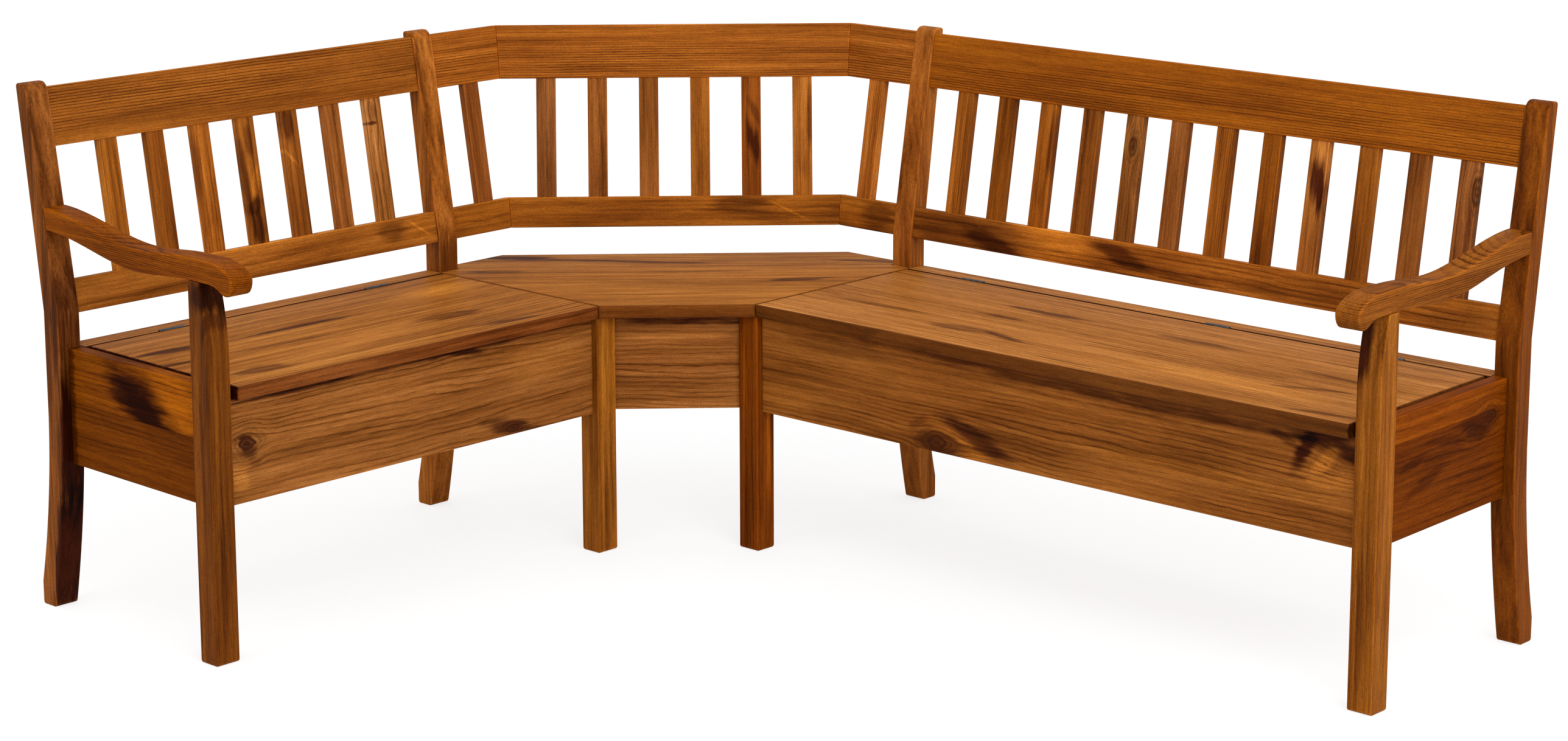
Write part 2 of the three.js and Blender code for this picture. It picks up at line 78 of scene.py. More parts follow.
class Graph:
    """Adds the nodes of one material or world."""

    def __init__(self, owner):
        owner.use_nodes = True
        self.tree = owner.node_tree
        self.tree.nodes.clear()

    def add(self, kind, inputs=None, **settings):
        node = self.tree.nodes.new(kind)
        for key, value in settings.items():
            setattr(node, key, value)
        for key, value in (inputs or {}).items():
            if isinstance(value, bpy.types.NodeSocket):
                self.tree.links.new(value, node.inputs[key])
            else:
                node.inputs[key].default_value = value
        return node

    def math(self, operation, *values, clamp=False):
        inputs = dict(enumerate(values))
        return self.add("ShaderNodeMath", inputs, operation=operation, use_clamp=clamp).outputs[0]

    def move(self, vector, scale, offset=(0, 0, 0)):
        inputs = {0: vector, 1: scale, 2: offset}
        return self.add("ShaderNodeVectorMath", inputs, operation="MULTIPLY_ADD").outputs[0]

    def length(self, vector):
        return self.add("ShaderNodeVectorMath", {0: vector}, operation="LENGTH").outputs["Value"]

    def parts(self, colour):
        return self.add("ShaderNodeSeparateColor", {0: colour}).outputs

    def noise(self, vector, detail=2.0, roughness=0.5):
        return self.add("ShaderNodeTexNoise", {"Vector": vector, "Scale": 1.0, "Detail": detail,
                        "Roughness": roughness, "Distortion": 0.0}).outputs

    def step(self, value, low, high, to_low=0.0, to_high=1.0):
        return self.add("ShaderNodeMapRange", {"Value": value, "From Min": low, "From Max": high,
                        "To Min": to_low, "To Max": to_high}, interpolation_type="SMOOTHSTEP").outputs[0]

    def mix(self, factor, a, b, how="MIX"):
        node = self.add("ShaderNodeMix", data_type="RGBA", blend_type=how)
        for socket, value in ((node.inputs[0], factor), (node.inputs[6], a), (node.inputs[7], b)):
            if isinstance(value, bpy.types.NodeSocket):
                self.tree.links.new(value, socket)
            else:
                socket.default_value = value
        return node.outputs[2]


def glued_boards(g, x, y, z, width, start, seed, contrast):
    """Shifts the wood from board to board. Gives the moved places and a tone, dark at the glue lines."""
    spread = g.math("DIVIDE", g.math("ADD", y, start), width)
    number = g.math("ADD", g.math("FLOOR", spread), seed)
    dice = g.add("ShaderNodeTexWhiteNoise", {"W": number}, noise_dimensions="1D")
    chance = g.parts(dice.outputs["Color"])
    off = g.math("ABSOLUTE", g.math("SUBTRACT", spread, g.math("ROUND", spread)))
    glue_line = g.step(g.math("MULTIPLY", off, width), 0.0001, 0.0006, 0.55, 1.0)
    tone = g.math("MULTIPLY_ADD", chance[2], contrast, 1 - contrast / 2)
    x = g.math("MULTIPLY_ADD", chance[0], BOARD_JUMPS[0], x)
    z = g.math("MULTIPLY_ADD", chance[1], BOARD_JUMPS[1], z)
    return x, z, g.math("MULTIPLY", tone, glue_line)


def bend_round_knots(g, place, y, fuzz, knots):
    """Bends the lines of the wood round its knots. Gives the moved place across and the knots' dark."""
    lean, dark = y, None
    for along, across, size, stretch, strength in knots:
        long_size = size * stretch
        here = g.move(place, (1 / long_size, 1 / size, 0), (-along / long_size, -across / size, 0))
        far = g.math("ADD", g.length(here), g.math("MULTIPLY_ADD", fuzz, 1.5, -0.75))
        pull = g.step(far, 0.2, 3.6, 0.94, 0.0)
        lean = g.math("SUBTRACT", lean, g.math("MULTIPLY", g.math("SUBTRACT", lean, across), pull))
        rings = g.math("MULTIPLY_ADD", g.math("SINE", g.math("MULTIPLY", far, 11.0)), 0.2, 0.3)
        rim = g.math("MULTIPLY", rings, g.step(far, 2.5, 1.0))
        mask = g.math("MULTIPLY", g.math("MULTIPLY_ADD", g.step(far, 1.15, 0.7), 0.45, rim), strength)
        dark = mask if dark is None else g.math("MAXIMUM", dark, mask)
    return lean, dark


def growth_rings(g, bent, x, lean, z, drift, ring, pith, sway, wave):
    """The dark late wood of each year, stronger in some years than in others."""
    swell = g.parts(g.noise(g.move(bent, SWELL))["Color"])
    squares = []
    for axis, value, away in ((0, lean, pith[0]), (1, z, pith[1])):
        slow = g.math("MULTIPLY_ADD", drift[axis], sway * 2.4, g.math("SUBTRACT", value, away + sway * 1.2))
        moved = g.math("MULTIPLY_ADD", swell[axis], wave * 2, slow)
        squares.append(g.math("MULTIPLY", moved, moved))
    radius = g.math("SQRT", g.math("ADD", *squares))
    quiver = g.noise(g.move(bent, QUIVER), 1.0)[0]
    count = g.math("MULTIPLY_ADD", quiver, 0.35, g.math("DIVIDE", radius, ring))
    phase = g.math("FRACT", count)
    late = g.math("MULTIPLY", g.math("POWER", g.step(phase, 0.3, 0.94), 2.0), g.step(phase, 1.0, 0.9))
    number = g.math("FLOOR", count)
    year = g.add("ShaderNodeCombineXYZ", {0: g.math("MULTIPLY", x, 2.0), 1: number}).outputs[0]
    strong = g.noise(g.move(year, (1, 0.73, 1)), 1.0)[0]
    return g.math("MULTIPLY", late, g.step(strong, 0.3, 0.66, 0.2, 1.0))


def tone_ramp(g, depth, tone, share):
    """The colours from the darkest wood to the brightest."""
    ramp = g.add("ShaderNodeValToRGB", {0: depth})
    stops = ramp.color_ramp.elements
    for position, _ in TONE_SHARES[1:-1]:
        stops.new(position)
    for stop, (_, shares) in zip(stops, TONE_SHARES):
        stop.color = tint(*[c * k for c, k in zip(tone, shares)], share)
    return ramp.outputs[0]


def stained(g, base, stains, place, y, z, ragged):
    """The colour with its stains: dark heartwood and, where a stain lies in a seam, a gap or under an
    overhang, painted shade; bright sapwood where the strength is negative.
    """
    for along, across, half_long, half_wide, angle, strength, *least in stains:
        near = g.add("ShaderNodeMapping", {"Vector": place, "Location": (along, across, 0),
                     "Rotation": (0, 0, math.radians(angle)), "Scale": (half_long, half_wide, 9)},
                     vector_type="TEXTURE").outputs[0]
        reach = g.math("ADD", g.length(near), g.math("MULTIPLY_ADD", ragged, 1.1, -1.1))
        glow = 1 - 0.75 * min(strength, -0.8)
        colour = HEARTWOOD_AND_SHADE if strength > 0 else (glow, glow * 1.06, glow * 0.95, 1)
        mask = g.step(reach, 1.15, 0.45, 0.0, min(1.0, abs(strength)))
        for axis, start, soft in zip((y, z), least, (0.0006, 0.012)):
            mask = g.math("MULTIPLY", mask, g.step(axis, start, start + soft))
        base = g.mix(mask, base, colour, "MULTIPLY")
    return base


# How fine the patterns of the wood are: steps in a metre along, across and through a piece.
DRIFT = (1.6, 6, 6)
SWELL = (8, 26, 26)
QUIVER = (40, 260, 260)
STREAK = (2.4, 80, 80)
PATCH = (2.6, 15, 15)
FUZZ = (14, 80, 80)
FIBRE = (24, 900, 900)
WEAVE = (380, 560, 560)
PORES = (50, 1200, 1200)
TONE_SHARES = ((0.0, (0.64, 0.57, 0.35)), (0.25, (0.84, 0.8, 0.68)), (0.5, (1, 1, 1)),
               (1.0, (1.24, 1.34, 1.6)))
PORE_SHARES = (0.45, 0.35, 0.2)
BOARD_JUMPS = (3.7, 0.05)
TURN_PLACE = (0, 0.0947, 0)
# How much brighter the rounded edges are: partly wear, partly a painted highlight.
WORN_AND_LIT_EDGE_SHARE = 1.12
WARM = (1.05, 0.92, 0.75, 1)
# The colour of the dark stains: heartwood, and painted shade where a stain lies in a seam, gap or under an
# overhang.
HEARTWOOD_AND_SHADE = (0.17, 0.09, 0.1, 1)
KNOT = (58, 24, 7)


def wood(name, tone, ring, pith, sway=0.006, wave=0.001, lines=0.6, streaks=1.0, patches=1.0, fade=None,
         boards=None, knots=(), stains=(), rough=0.5, shine=0.04, turned=False):
    """Stained softwood, as a pair: the faces, and the rounded edges a little brighter, partly as rubbed wear
    and partly as a painted highlight. Growth rings run round a pith line that lies across and under the
    piece, with streaks, fibres and pores. tone is a screen colour. fade gives two places across, between
    which the lines grow. boards are the width, start, seed and contrast of glued boards, and a turned wood
    lies across the corner. Knots (along, across, size, stretch, strength) and stains (along, across, half
    length, half width, angle, strength, and perhaps the least place across and through; negative where
    brighter) are in the piece's own metres. Some dark stains are painted shade in seams, gaps and under
    overhangs."""
    pair = []
    # The second copy, for the rounded edges, is brighter: wear and a painted highlight.
    for word, share in (("", 1.0), ("_edge", WORN_AND_LIT_EDGE_SHARE)):
        material = bpy.data.materials.new(name + word)
        g = Graph(material)
        place = g.add("ShaderNodeTexCoord").outputs["Object"]
        if turned:
            place = g.add("ShaderNodeMapping", {"Vector": place, "Location": TURN_PLACE,
                          "Rotation": (0, 0, -math.pi / 4)}).outputs[0]
        x, y, z = g.add("ShaderNodeSeparateXYZ", {0: place}).outputs
        board_tone = None
        if boards:
            x, z, board_tone = glued_boards(g, x, y, z, *boards)
        fuzz = g.noise(g.move(place, FUZZ), 3.0, 0.6)[0] if knots or stains else None
        lean, dark = bend_round_knots(g, place, y, fuzz, knots)
        bent = g.add("ShaderNodeCombineXYZ", {0: x, 1: lean, 2: z}).outputs[0]
        drift = g.parts(g.noise(g.move(bent, DRIFT), 2.0, 0.45)["Color"])
        late = growth_rings(g, bent, x, lean, z, drift, ring, pith, sway, wave)
        if fade:
            across = g.math("MULTIPLY_ADD", drift[2], 0.02, g.math("SUBTRACT", y, 0.01))
            late = g.math("MULTIPLY", late, g.step(across, *fade, 0.22, 1.0))
        streak = g.noise(g.move(bent, STREAK, (5, 0, 0)), 5.0, 0.7)[0]
        patch = g.parts(g.noise(g.move(bent, PATCH, (0, 9, 0)))["Color"])
        late = g.math("MULTIPLY", late, g.step(patch[2], 0.38, 0.58, 0.3, 1.0))
        depth = g.math("MULTIPLY_ADD", g.math("SUBTRACT", streak, 0.5), 1.9 * streaks,
                       g.math("MULTIPLY_ADD", g.math("SUBTRACT", patch[0], 0.5), 1.5 * patches, 0.5))
        depth = g.math("SUBTRACT", depth, g.math("MULTIPLY", late, lines * 0.62), clamp=True)
        warmth = g.step(patch[1], 0.36, 0.68, 0.0, 0.4 * patches)
        base = g.mix(warmth, tone_ramp(g, depth, tone, share), WARM, "MULTIPLY")
        pores = g.step(g.noise(g.move(bent, PORES, (0, 0, 2)), 1.0, 0.4)[0], 0.6, 0.72, 0.0, 0.35)
        base = g.mix(pores, base, tint(*[c * k for c, k in zip(tone, PORE_SHARES)]))
        if stains:
            base = stained(g, base, stains, place, y, z, g.math("ADD", fuzz, streak))
        if knots:
            base = g.mix(dark, base, tint(*KNOT, share))
        fibre = g.noise(g.move(bent, FIBRE), 3.0, 0.6)[0]
        weave = g.noise(g.move(place, WEAVE), 1.0)[0]
        light = g.math("MULTIPLY", g.step(fibre, 0.28, 0.72, 0.77, 1.21),
                       g.step(weave, 0.3, 0.7, 0.88, 1.12))
        if boards:
            light = g.math("MULTIPLY", light, board_tone)
        shade = g.add("ShaderNodeVectorMath", {0: base, "Scale": light}, operation="SCALE").outputs[0]
        bump = g.add("ShaderNodeBump", {"Height": fibre, "Strength": 0.4, "Distance": 0.0004})
        gloss = g.step(fibre, 0.2, 0.8, rough + 0.07, rough - 0.05)
        shader = g.add("ShaderNodeBsdfPrincipled", {"Base Color": shade, "Roughness": gloss,
                       "Normal": bump.outputs[0], "IOR": 1.45, "Specular IOR Level": shine})
        g.add("ShaderNodeOutputMaterial", {"Surface": shader.outputs[0]})
        pair.append(material)
    return pair


def solid(name, first, last, grain, across, finish, slot, nodes=(), body="frame", rounding=0.0026,
          shift=(0, 0, 0), side_finish=None, cutters=None):
    """A closed piece between two matching outlines. Its own X follows the grain, and shift picks its place
    in the wood."""
    gx = grain.normalized()
    gy = (across - gx * across.dot(gx)).normalized()
    turned = Matrix((gx, gy, gx.cross(gy)))
    reach = [turned @ p for p in first + last]
    centre = turned.transposed() @ Vector([(min(c) + max(c)) / 2 for c in zip(*reach)])
    home = turned.transposed().to_4x4()
    home.translation = centre
    home = home @ Matrix.Translation(-Vector(shift))
    inward = home.inverted()
    n = len(first)
    faces = [list(range(n))[::-1], list(range(n, 2 * n))]
    faces += [[i, (i + 1) % n, n + (i + 1) % n, n + i] for i in range(n)]
    mesh = bpy.data.meshes.new(name)
    mesh.from_pydata([inward @ p for p in first + last], [], faces)
    work = bmesh.new()
    work.from_mesh(mesh)
    bmesh.ops.recalc_face_normals(work, faces=work.faces)
    work.to_mesh(mesh)
    work.free()
    for material in finish:
        mesh.materials.append(material)
    if side_finish:
        mesh.materials.append(side_finish[0])
        for face in mesh.polygons:
            if abs((home.to_3x3() @ face.normal).z) < 0.5:
                face.material_index = 2
    mesh.shade_smooth()
    obj = bpy.data.objects.new(name, mesh)
    obj.matrix_world = home
    bpy.context.scene.collection.objects.link(obj)
    bevel = obj.modifiers.new("edges", "BEVEL")
    bevel.width = rounding
    bevel.segments = 3
    bevel.angle_limit = math.radians(28)
    # The rounded edges take the brighter copy, wear and painted highlight; on the seat boards they take the
    # darker side wood instead, which paints shade along the seams.
    bevel.material = 2 if side_finish else 1
    if cutters:
        recess = obj.modifiers.new("recess", "BOOLEAN")
        recess.operation = "DIFFERENCE"
        recess.solver = "EXACT"
        recess.object = cutters
    normals = obj.modifiers.new("normals", "WEIGHTED_NORMAL")
    normals.keep_sharp = True
    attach(obj, body)
    if nodes:
        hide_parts(*nodes)
    return obj


RAIL_THICK = 0.02
WING_END = 0.01998
SLANT_END = 0.30087


def rail(name, side, start, end, low, high, finish, shift, nodes):
    """A leaning board; start and end give its ends for a place in its thickness and height."""
    corners = ((low, 0), (high, 0), (high, RAIL_THICK), (low, RAIL_THICK))
    loops = [[raked(side, at(back, rise), rise, back) for rise, back in corners] for at in (start, end)]
    up = raked(side, 0, 1, 0) - raked(side, 0, 0, 0)
    return solid(name, *loops, ALONG[side], up, finish, "frame_wood", nodes, rounding=0.002, shift=shift)


def flat(place):
    """The end of a board that is cut square."""
    return lambda back, rise: place


def level(back, rise):
    """How far a point of a leaning board lies behind its plane's line at the height of the seat."""
    return back * math.cos(RAKE) + rise * math.sin(RAKE)


def wing_mitre(back, rise):
    """The mitred end of a narrow board beside the corner."""
    return WING_END - level(back, rise) * HALF_TURN + GAP / 2


def slant_mitre(way):
    """Either end of the slanted board, which the same mitres cut."""
    return lambda back, rise: way * (SLANT_END + level(back, rise) * HALF_TURN - GAP / 2)


POST_LINE = {side: OUTER[side] - END_STEP for side in OUTER}
TOP_RAIL = (0.33418, 0.43358)
TENON = 0.004
top_woods = {
    "long": wood(
        "long_top_rail_wood", (151, 81, 13), ring=0.0044, pith=(0.42, 0.05), sway=0.004, lines=2.1,
        streaks=0.65, patches=0.5, fade=(0.03, -0.004)),
    "short": wood(
        "short_top_rail_wood", (154, 87, 25), ring=0.0048, pith=(0.42, 0.05), sway=0.004, lines=2.9,
        streaks=0.6, patches=0.5, fade=(-0.03, -0.006)),
    "slant": wood(
        "corner_top_rail_wood", (162, 90, 25), ring=0.0046, pith=(0.42, 0.05), sway=0.004, lines=2.5,
        streaks=0.9, patches=0.45, fade=(0.02, -0.01)),
}
for side, shift, corner_shift in (("long", 0.2, 4.6), ("short", 0.0, 4.0)):
    ends = (flat(INNER + LEG - TENON), flat(POST_LINE[side] + TENON))
    rail(side + "_top_rail_board", side, *ends, *TOP_RAIL, top_woods[side], (shift, 0, 0),
         [side + "_top_rail"])
    rail(side + "_corner_top_rail_board", side, wing_mitre, flat(INNER + TENON), *TOP_RAIL,
         top_woods["slant"], (corner_shift, 0, 0), ["corner_top_rail_" + side + "_side"])
rail("slanted_top_rail_board", "slant", slant_mitre(-1), slant_mitre(1), *TOP_RAIL,
     top_woods["slant"], (7.3, 0, 0), ["corner_top_rail_slanted"])

# Lower rails.
# The same five boards of softwood again, narrower, just above the seats and dowelled to the posts. The
# slats stand in their top edges.
LOW_RAIL = (0.0565, 0.113)
low_woods = {
    "long": wood(
        "long_low_rail_wood", (156, 88, 25), ring=0.0065, pith=(0.14, -0.1), sway=0.014, wave=0.002,
        lines=0.9,
        stains=((-0.29, 0.006, 0.1, 0.05, 0, -0.85), (-0.5, 0.0, 0.22, 0.06, -8, 0.5),
                (-0.42, -0.016, 0.09, 0.02, -14, 0.85), (-0.14, 0.002, 0.075, 0.018, -14, 0.8),
                (-0.02, -0.016, 0.14, 0.007, -4, 0.5), (0.57, -0.01, 0.12, 0.03, 0, 0.35))),
    "short": wood(
        "short_low_rail_wood", (157, 91, 28), ring=0.0085, pith=(0.1, -0.12), sway=0.014, wave=0.002,
        lines=0.5,
        stains=((-0.36, 0.003, 0.05, 0.03, 0, -0.6), (-0.29, 0.004, 0.035, 0.02, 0, 0.55),
                (-0.357, 0.002, 0.04, 0.0025, 34, -0.8))),
    "slant": wood(
        "corner_low_rail_wood", (153, 87, 22), ring=0.0085, pith=(0.1, -0.12), sway=0.014, wave=0.002,
        lines=0.5,
        stains=((0.24, 0.003, 0.07, 0.03, 0, -0.5), (0.12, 0.012, 0.06, 0.018, 0, 0.6),
                (0.216, -0.002, 0.05, 0.0025, -27, -0.8), (5.03, 0.0, 0.05, 0.03, 0, 0.6))),
}
for side, shift in (("long", 5.0), ("short", 3.1)):
    ends = (flat(INNER + LEG - TENON), flat(POST_LINE[side] + TENON))
    rail(side + "_low_rail_board", side, *ends, *LOW_RAIL, low_woods[side], (0, 0, 0),
         [side + "_low_rail_with_slats"])
    rail(side + "_corner_low_rail_board", side, wing_mitre, flat(INNER + TENON), *LOW_RAIL,
         low_woods["slant"], (shift, 0, 0), ["corner_low_rail_" + side + "_side"])
rail("slanted_low_rail_board", "slant", slant_mitre(-1), slant_mitre(1), *LOW_RAIL,
     low_woods["slant"], (0, 0, 0), ["corner_low_rail_slanted"])

# Back slats.
# Twenty-seven thin upright slats, 36 by 15 mm, tenoned into both rails. Their wood is mixed: some are
# straight and fine, some plain, and a few are cut near a branch and have dark heart and knots.
SLAT_HALF = 0.018
SLAT_FACES = (0.0025, 0.0175)
SLAT_STEP = 0.0955
SLAT_MIDDLE = 0.2236
WING_SLAT_INSET = 0.011
SLAT_CUTS = {
    "fine": dict(ring=0.0042, pith=(0.3, 0.02), sway=0.003, lines=1.0),
    "gold": dict(ring=0.006, pith=(0.12, -0.05), sway=0.006, lines=0.5),
    "plain": dict(ring=0.009, pith=(0.06, -0.07), sway=0.01, lines=0.4),
    "deep": dict(ring=0.007, pith=(0.05, -0.06), sway=0.012, wave=0.002, lines=0.6),
    "eye": dict(
        ring=0.005, pith=(0.05, -0.04), sway=0.008, wave=0.002, lines=0.7,
        knots=((0.056, 0.002, 0.009, 2.4, 0.8), (-0.01, 0.016, 0.006, 3.0, 0.4)),
        stains=((0.07, -0.012, 0.03, 0.006, 0, -0.6),)),
    "stain": dict(
        ring=0.006, pith=(0.05, -0.05), sway=0.01, wave=0.002, lines=0.5,
        stains=((0.09, -0.004, 0.03, 0.02, 0, -0.5), (0.04, 0.004, 0.06, 0.017, -8, 1.0),
                (-0.05, 0.016, 0.07, 0.006, 0, 0.5))),
    "side": dict(
        ring=0.0048, pith=(0.05, -0.04), sway=0.01, wave=0.003, lines=0.8,
        knots=((0.062, 0.017, 0.008, 3.0, 0.9),),
        stains=((0.0, 0.012, 0.06, 0.008, 0, 0.45),)),
    "flame": dict(
        ring=0.006, pith=(0.05, -0.05), sway=0.01, wave=0.003, lines=0.6,
        stains=((0.0, 0.014, 0.1, 0.006, 2, 0.75), (0.07, -0.002, 0.03, 0.009, 0, 0.6),
                (0.0, -0.006, 0.035, 0.01, -20, -0.9), (-0.045, 0.002, 0.02, 0.014, -35, 0.8),
                (-0.085, 0.0, 0.035, 0.014, 0, 0.8))),
    "edge": dict(
        ring=0.006, pith=(0.08, -0.05), sway=0.008, lines=0.5,
        stains=((0.04, 0.016, 0.07, 0.008, 0, 0.65), (-0.09, 0.0, 0.03, 0.015, 0, -0.5))),
    "ripple": dict(
        ring=0.0045, pith=(0.03, -0.03), sway=0.01, wave=0.005, lines=0.9,
        stains=((0.066, 0.008, 0.004, 0.014, 0, 0.9), (0.085, 0.006, 0.02, 0.012, 0, 0.45))),
    "notch": dict(
        ring=0.007, pith=(0.05, -0.06), sway=0.01, wave=0.002, lines=0.5,
        stains=((0.088, 0.006, 0.034, 0.016, 0, 0.75), (0.03, 0.008, 0.025, 0.004, 40, -0.8))),
    "cross": dict(
        ring=0.006, pith=(0.05, -0.05), sway=0.01, wave=0.003, lines=0.5,
        stains=((-0.012, 0.003, 0.05, 0.013, -12, 0.9), (0.05, 0.004, 0.03, 0.008, -20, 0.5))),
}
# Each row's middle, the names of its nodes where it has them, and the cut and tone of its slats.
SLATS = {
    "long": (0.809, None,
             (("fine", (152, 85, 24)), ("gold", (126, 67, 13)), ("edge", (142, 77, 19)),
              ("deep", (130, 72, 21)), ("eye", (127, 74, 28)), ("plain", (141, 82, 34)),
              ("fine", (149, 83, 22)), ("gold", (123, 64, 11)), ("stain", (156, 92, 36)),
              ("gold", (137, 77, 20)), ("plain", (125, 70, 25)), ("side", (131, 75, 32)))),
    "short": (0.5905, None,
              (("ripple", (182, 119, 60)), ("plain", (154, 90, 37)), ("notch", (155, 90, 31)),
               ("flame", (162, 95, 32)), ("edge", (178, 104, 34)), ("deep", (144, 80, 22)),
               ("fine", (171, 100, 30)))),
    "slant": (0.0, "corner_slat_",
              (("plain", (131, 77, 34)), ("deep", (150, 87, 34)), ("plain", (141, 81, 30)),
               ("gold", (141, 79, 22)), ("cross", (131, 67, 15)), ("edge", (162, 95, 32)))),
}


def slat(name, side, middle, finish, shift, nodes):
    """One slat, whose middle is given along its rails."""
    near, far = SLAT_FACES
    left, right = middle - SLAT_HALF, middle + SLAT_HALF
    corners = ((left, near), (right, near), (right, far), (left, far))
    ends = (LOW_RAIL[1] - TENON, TOP_RAIL[0] + TENON)
    loops = [[raked(side, along, rise, back) for along, back in corners] for rise in ends]
    up = raked(side, 0, 1, 0) - raked(side, 0, 0, 0)
    return solid(name, *loops, up, ALONG[side], finish, "frame_wood", nodes, rounding=0.0013, shift=shift)


for side, (centre, prefix, row) in SLATS.items():
    for i, (cut, tone) in enumerate(row):
        middle = centre + (i - (len(row) - 1) / 2) * SLAT_STEP
        finish = wood(f"{side}_slat_{i + 1}_wood", tone, **SLAT_CUTS[cut])
        marked = "stains" in SLAT_CUTS[cut]
        shift = (0, 0, 0) if marked else (0.9 * i + centre, 0.012 * (i % 5), 0.01 * (i % 2))
        nodes = [f"{prefix}{i + 1}"] if prefix else []
        slat(f"{side}_slat_{i + 1}_board", side, middle, finish, shift, nodes)
WING_SLATS = (("long", "fine", (179, 105, 38), 12.0), ("short", "plain", (134, 73, 26), 14.5))
for side, cut, tone, shift in WING_SLATS:
    middle = (INNER - GAP + wing_mitre(0, SLAT_MIDDLE)) / 2 - WING_SLAT_INSET
    finish = wood(side + "_corner_slat_wood", tone, **SLAT_CUTS[cut])
    slat(side + "_corner_slat_board", side, middle, finish, (shift, 0.02, 0), [f"corner_slat_{side}_side"])

# Back posts.
# Four legs cut from thick plank: the foot sweeps back, the middle stands upright beside the seat and the
# upper part leans back, thinner towards its rounded top. Edges are lightly rounded, feet chamfered.
post_woods = {
    "long_outer": wood(
        "post_wood", (119, 60, 9), ring=0.008, pith=(0.09, -0.05), sway=0.012, wave=0.002, lines=0.45),
    "short_outer": wood(
        "dark_post_wood", (138, 77, 28), ring=0.008, pith=(0.07, -0.05), sway=0.012, wave=0.002,
        lines=0.5,
        stains=((-0.18, -0.046, 0.2, 0.014, -2, 1.0), (-0.35, -0.022, 0.15, 0.014, -9.5, 1.0),
                (0.05, -0.036, 0.11, 0.012, 0, 0.75), (0.0, -0.015, 0.2, 0.006, 0, 0.5))),
}
for side, tone in (("long", (151, 85, 28)), ("short", (168, 97, 33))):
    post_woods[side + "_inner"] = wood(
        side + "_inner_post_wood", tone, ring=0.008, pith=(0.08, -0.05), sway=0.012, wave=0.002, lines=0.45,
        stains=((0.14, 0.02, 0.12, 0.01, -6, 0.4), (0.03, -0.04, 0.06, 0.014, 0, 0.55)))
CHAMFER = 0.003
POST_PROUD = 0.004
POST_BACK = 0.45
POST_TOP = 0.886
TOP_THICK = 0.026
FOOT_BACK = 0.487
FOOT_FRONT = 0.451
BACK_SWEEP = (0.04, 0.33)
FRONT_SWEEP = 0.32
RAKE_START = 0.51


def bend(start, handle, end, steps=12):
    """Points of a curve after its start, pulled towards one handle."""
    points = []
    for i in range(1, steps + 1):
        t = i / steps
        shares = ((1 - t) ** 2, 2 * t * (1 - t), t * t)
        points.append(tuple(sum(k * c for k, c in zip(shares, line)) for line in zip(start, handle, end)))
    return points


def rake_front(height):
    """How far back the leaning front of a post is at some height."""
    return RAIL_DEPTH["long"] - POST_PROUD + LEAN * (height - SEAT_TOP)


top_front = rake_front(POST_TOP)
post_outline = [(FOOT_FRONT + CHAMFER, 0), (FOOT_BACK - CHAMFER, 0), (FOOT_BACK, CHAMFER)]
post_outline += [(FOOT_BACK, BACK_SWEEP[0])]
post_outline += bend((FOOT_BACK, BACK_SWEEP[0]), (0.453, 0.185), (POST_BACK, BACK_SWEEP[1]))
post_outline += [(POST_BACK, RAKE_START), (top_front + TOP_THICK, 0.88)]
post_outline += bend(post_outline[-1], (top_front + TOP_THICK, POST_TOP), (top_front + 0.02, POST_TOP), 4)
post_outline += [(top_front + 0.0115, POST_TOP)]
post_outline += bend(post_outline[-1], (top_front, 0.883), (rake_front(0.869), 0.869), 5)
post_outline += [(POST_FRONT, RAKE_START), (POST_FRONT, FRONT_SWEEP)]
post_outline += bend((POST_FRONT, FRONT_SWEEP), (0.4145, 0.178), (FOOT_FRONT, CHAMFER))
POSTS = (("long", "outer", POST_LINE["long"], 0.0), ("long", "inner", INNER, 2.2),
         ("short", "outer", POST_LINE["short"], 0.0), ("short", "inner", INNER, 0.0))
for side, word, start, shift in POSTS:
    loops = [[spot(side, along, depth, height) for depth, height in post_outline]
             for along in (start, start + LEG)]
    solid(f"{side}_{word}_post_piece", *loops, UP, BACK[side], post_woods[f"{side}_{word}"], "frame_wood",
          [f"{side}_{word}_back_post"], shift=(shift, 0, 0))

# Front legs.
# Square legs, the two inner ones hidden under the corner seat at the top, the outer ones running on up to
# the arms; there the front face curves back. Feet chamfered all round.
# The dark patches at the tops of the two outer legs, right under the arms, are painted shadow of the arms.
leg_woods = {
    "long_outer": wood(
        "long_outer_leg_wood", (141, 80, 20), ring=0.007, pith=(0.05, -0.09), sway=0.007, lines=0.45,
        stains=((0.253, -0.019, 0.06, 0.02, 9, 0.95, -1, -0.004),)),
    "long_inner": wood(
        "long_inner_leg_wood", (128, 62, 9), shine=0.02, ring=0.006, pith=(0.06, -0.08), sway=0.009,
        wave=0.002, lines=0.5,
        stains=((-0.04, 0.006, 0.14, 0.008, 0, -1.0), (0.05, 0.016, 0.12, 0.006, 0, 0.5))),
    "short_outer": wood(
        "short_outer_leg_wood", (117, 62, 12), ring=0.008, pith=(0.05, -0.08), sway=0.009, lines=0.45,
        stains=((0.29, -0.01, 0.03, 0.03, 0, 0.9), (0.245, -0.016, 0.035, 0.006, -12, 0.5))),
    "short_inner": wood(
        "short_inner_leg_wood", (170, 102, 30), ring=0.0045, pith=(0.2, -0.05), sway=0.005, lines=0.5,
        stains=((0.0, 0.0, 0.6, 0.5, 0, 0.25, -1, 0.012),)),
}
UNDERSIDE = 0.427
ARM_UNDER = 0.623
CURVE_START = 0.505
SUPPORT_FRONT = 0.018
foot_front = [(CHAMFER, 0), (LEG - CHAMFER, 0), (LEG, CHAMFER)]
short_leg_outline = foot_front + [(LEG, UNDERSIDE - GAP), (0, UNDERSIDE - GAP), (0, CHAMFER)]
tall_leg_outline = foot_front + [(LEG, ARM_UNDER - GAP), (SUPPORT_FRONT, ARM_UNDER - GAP)]
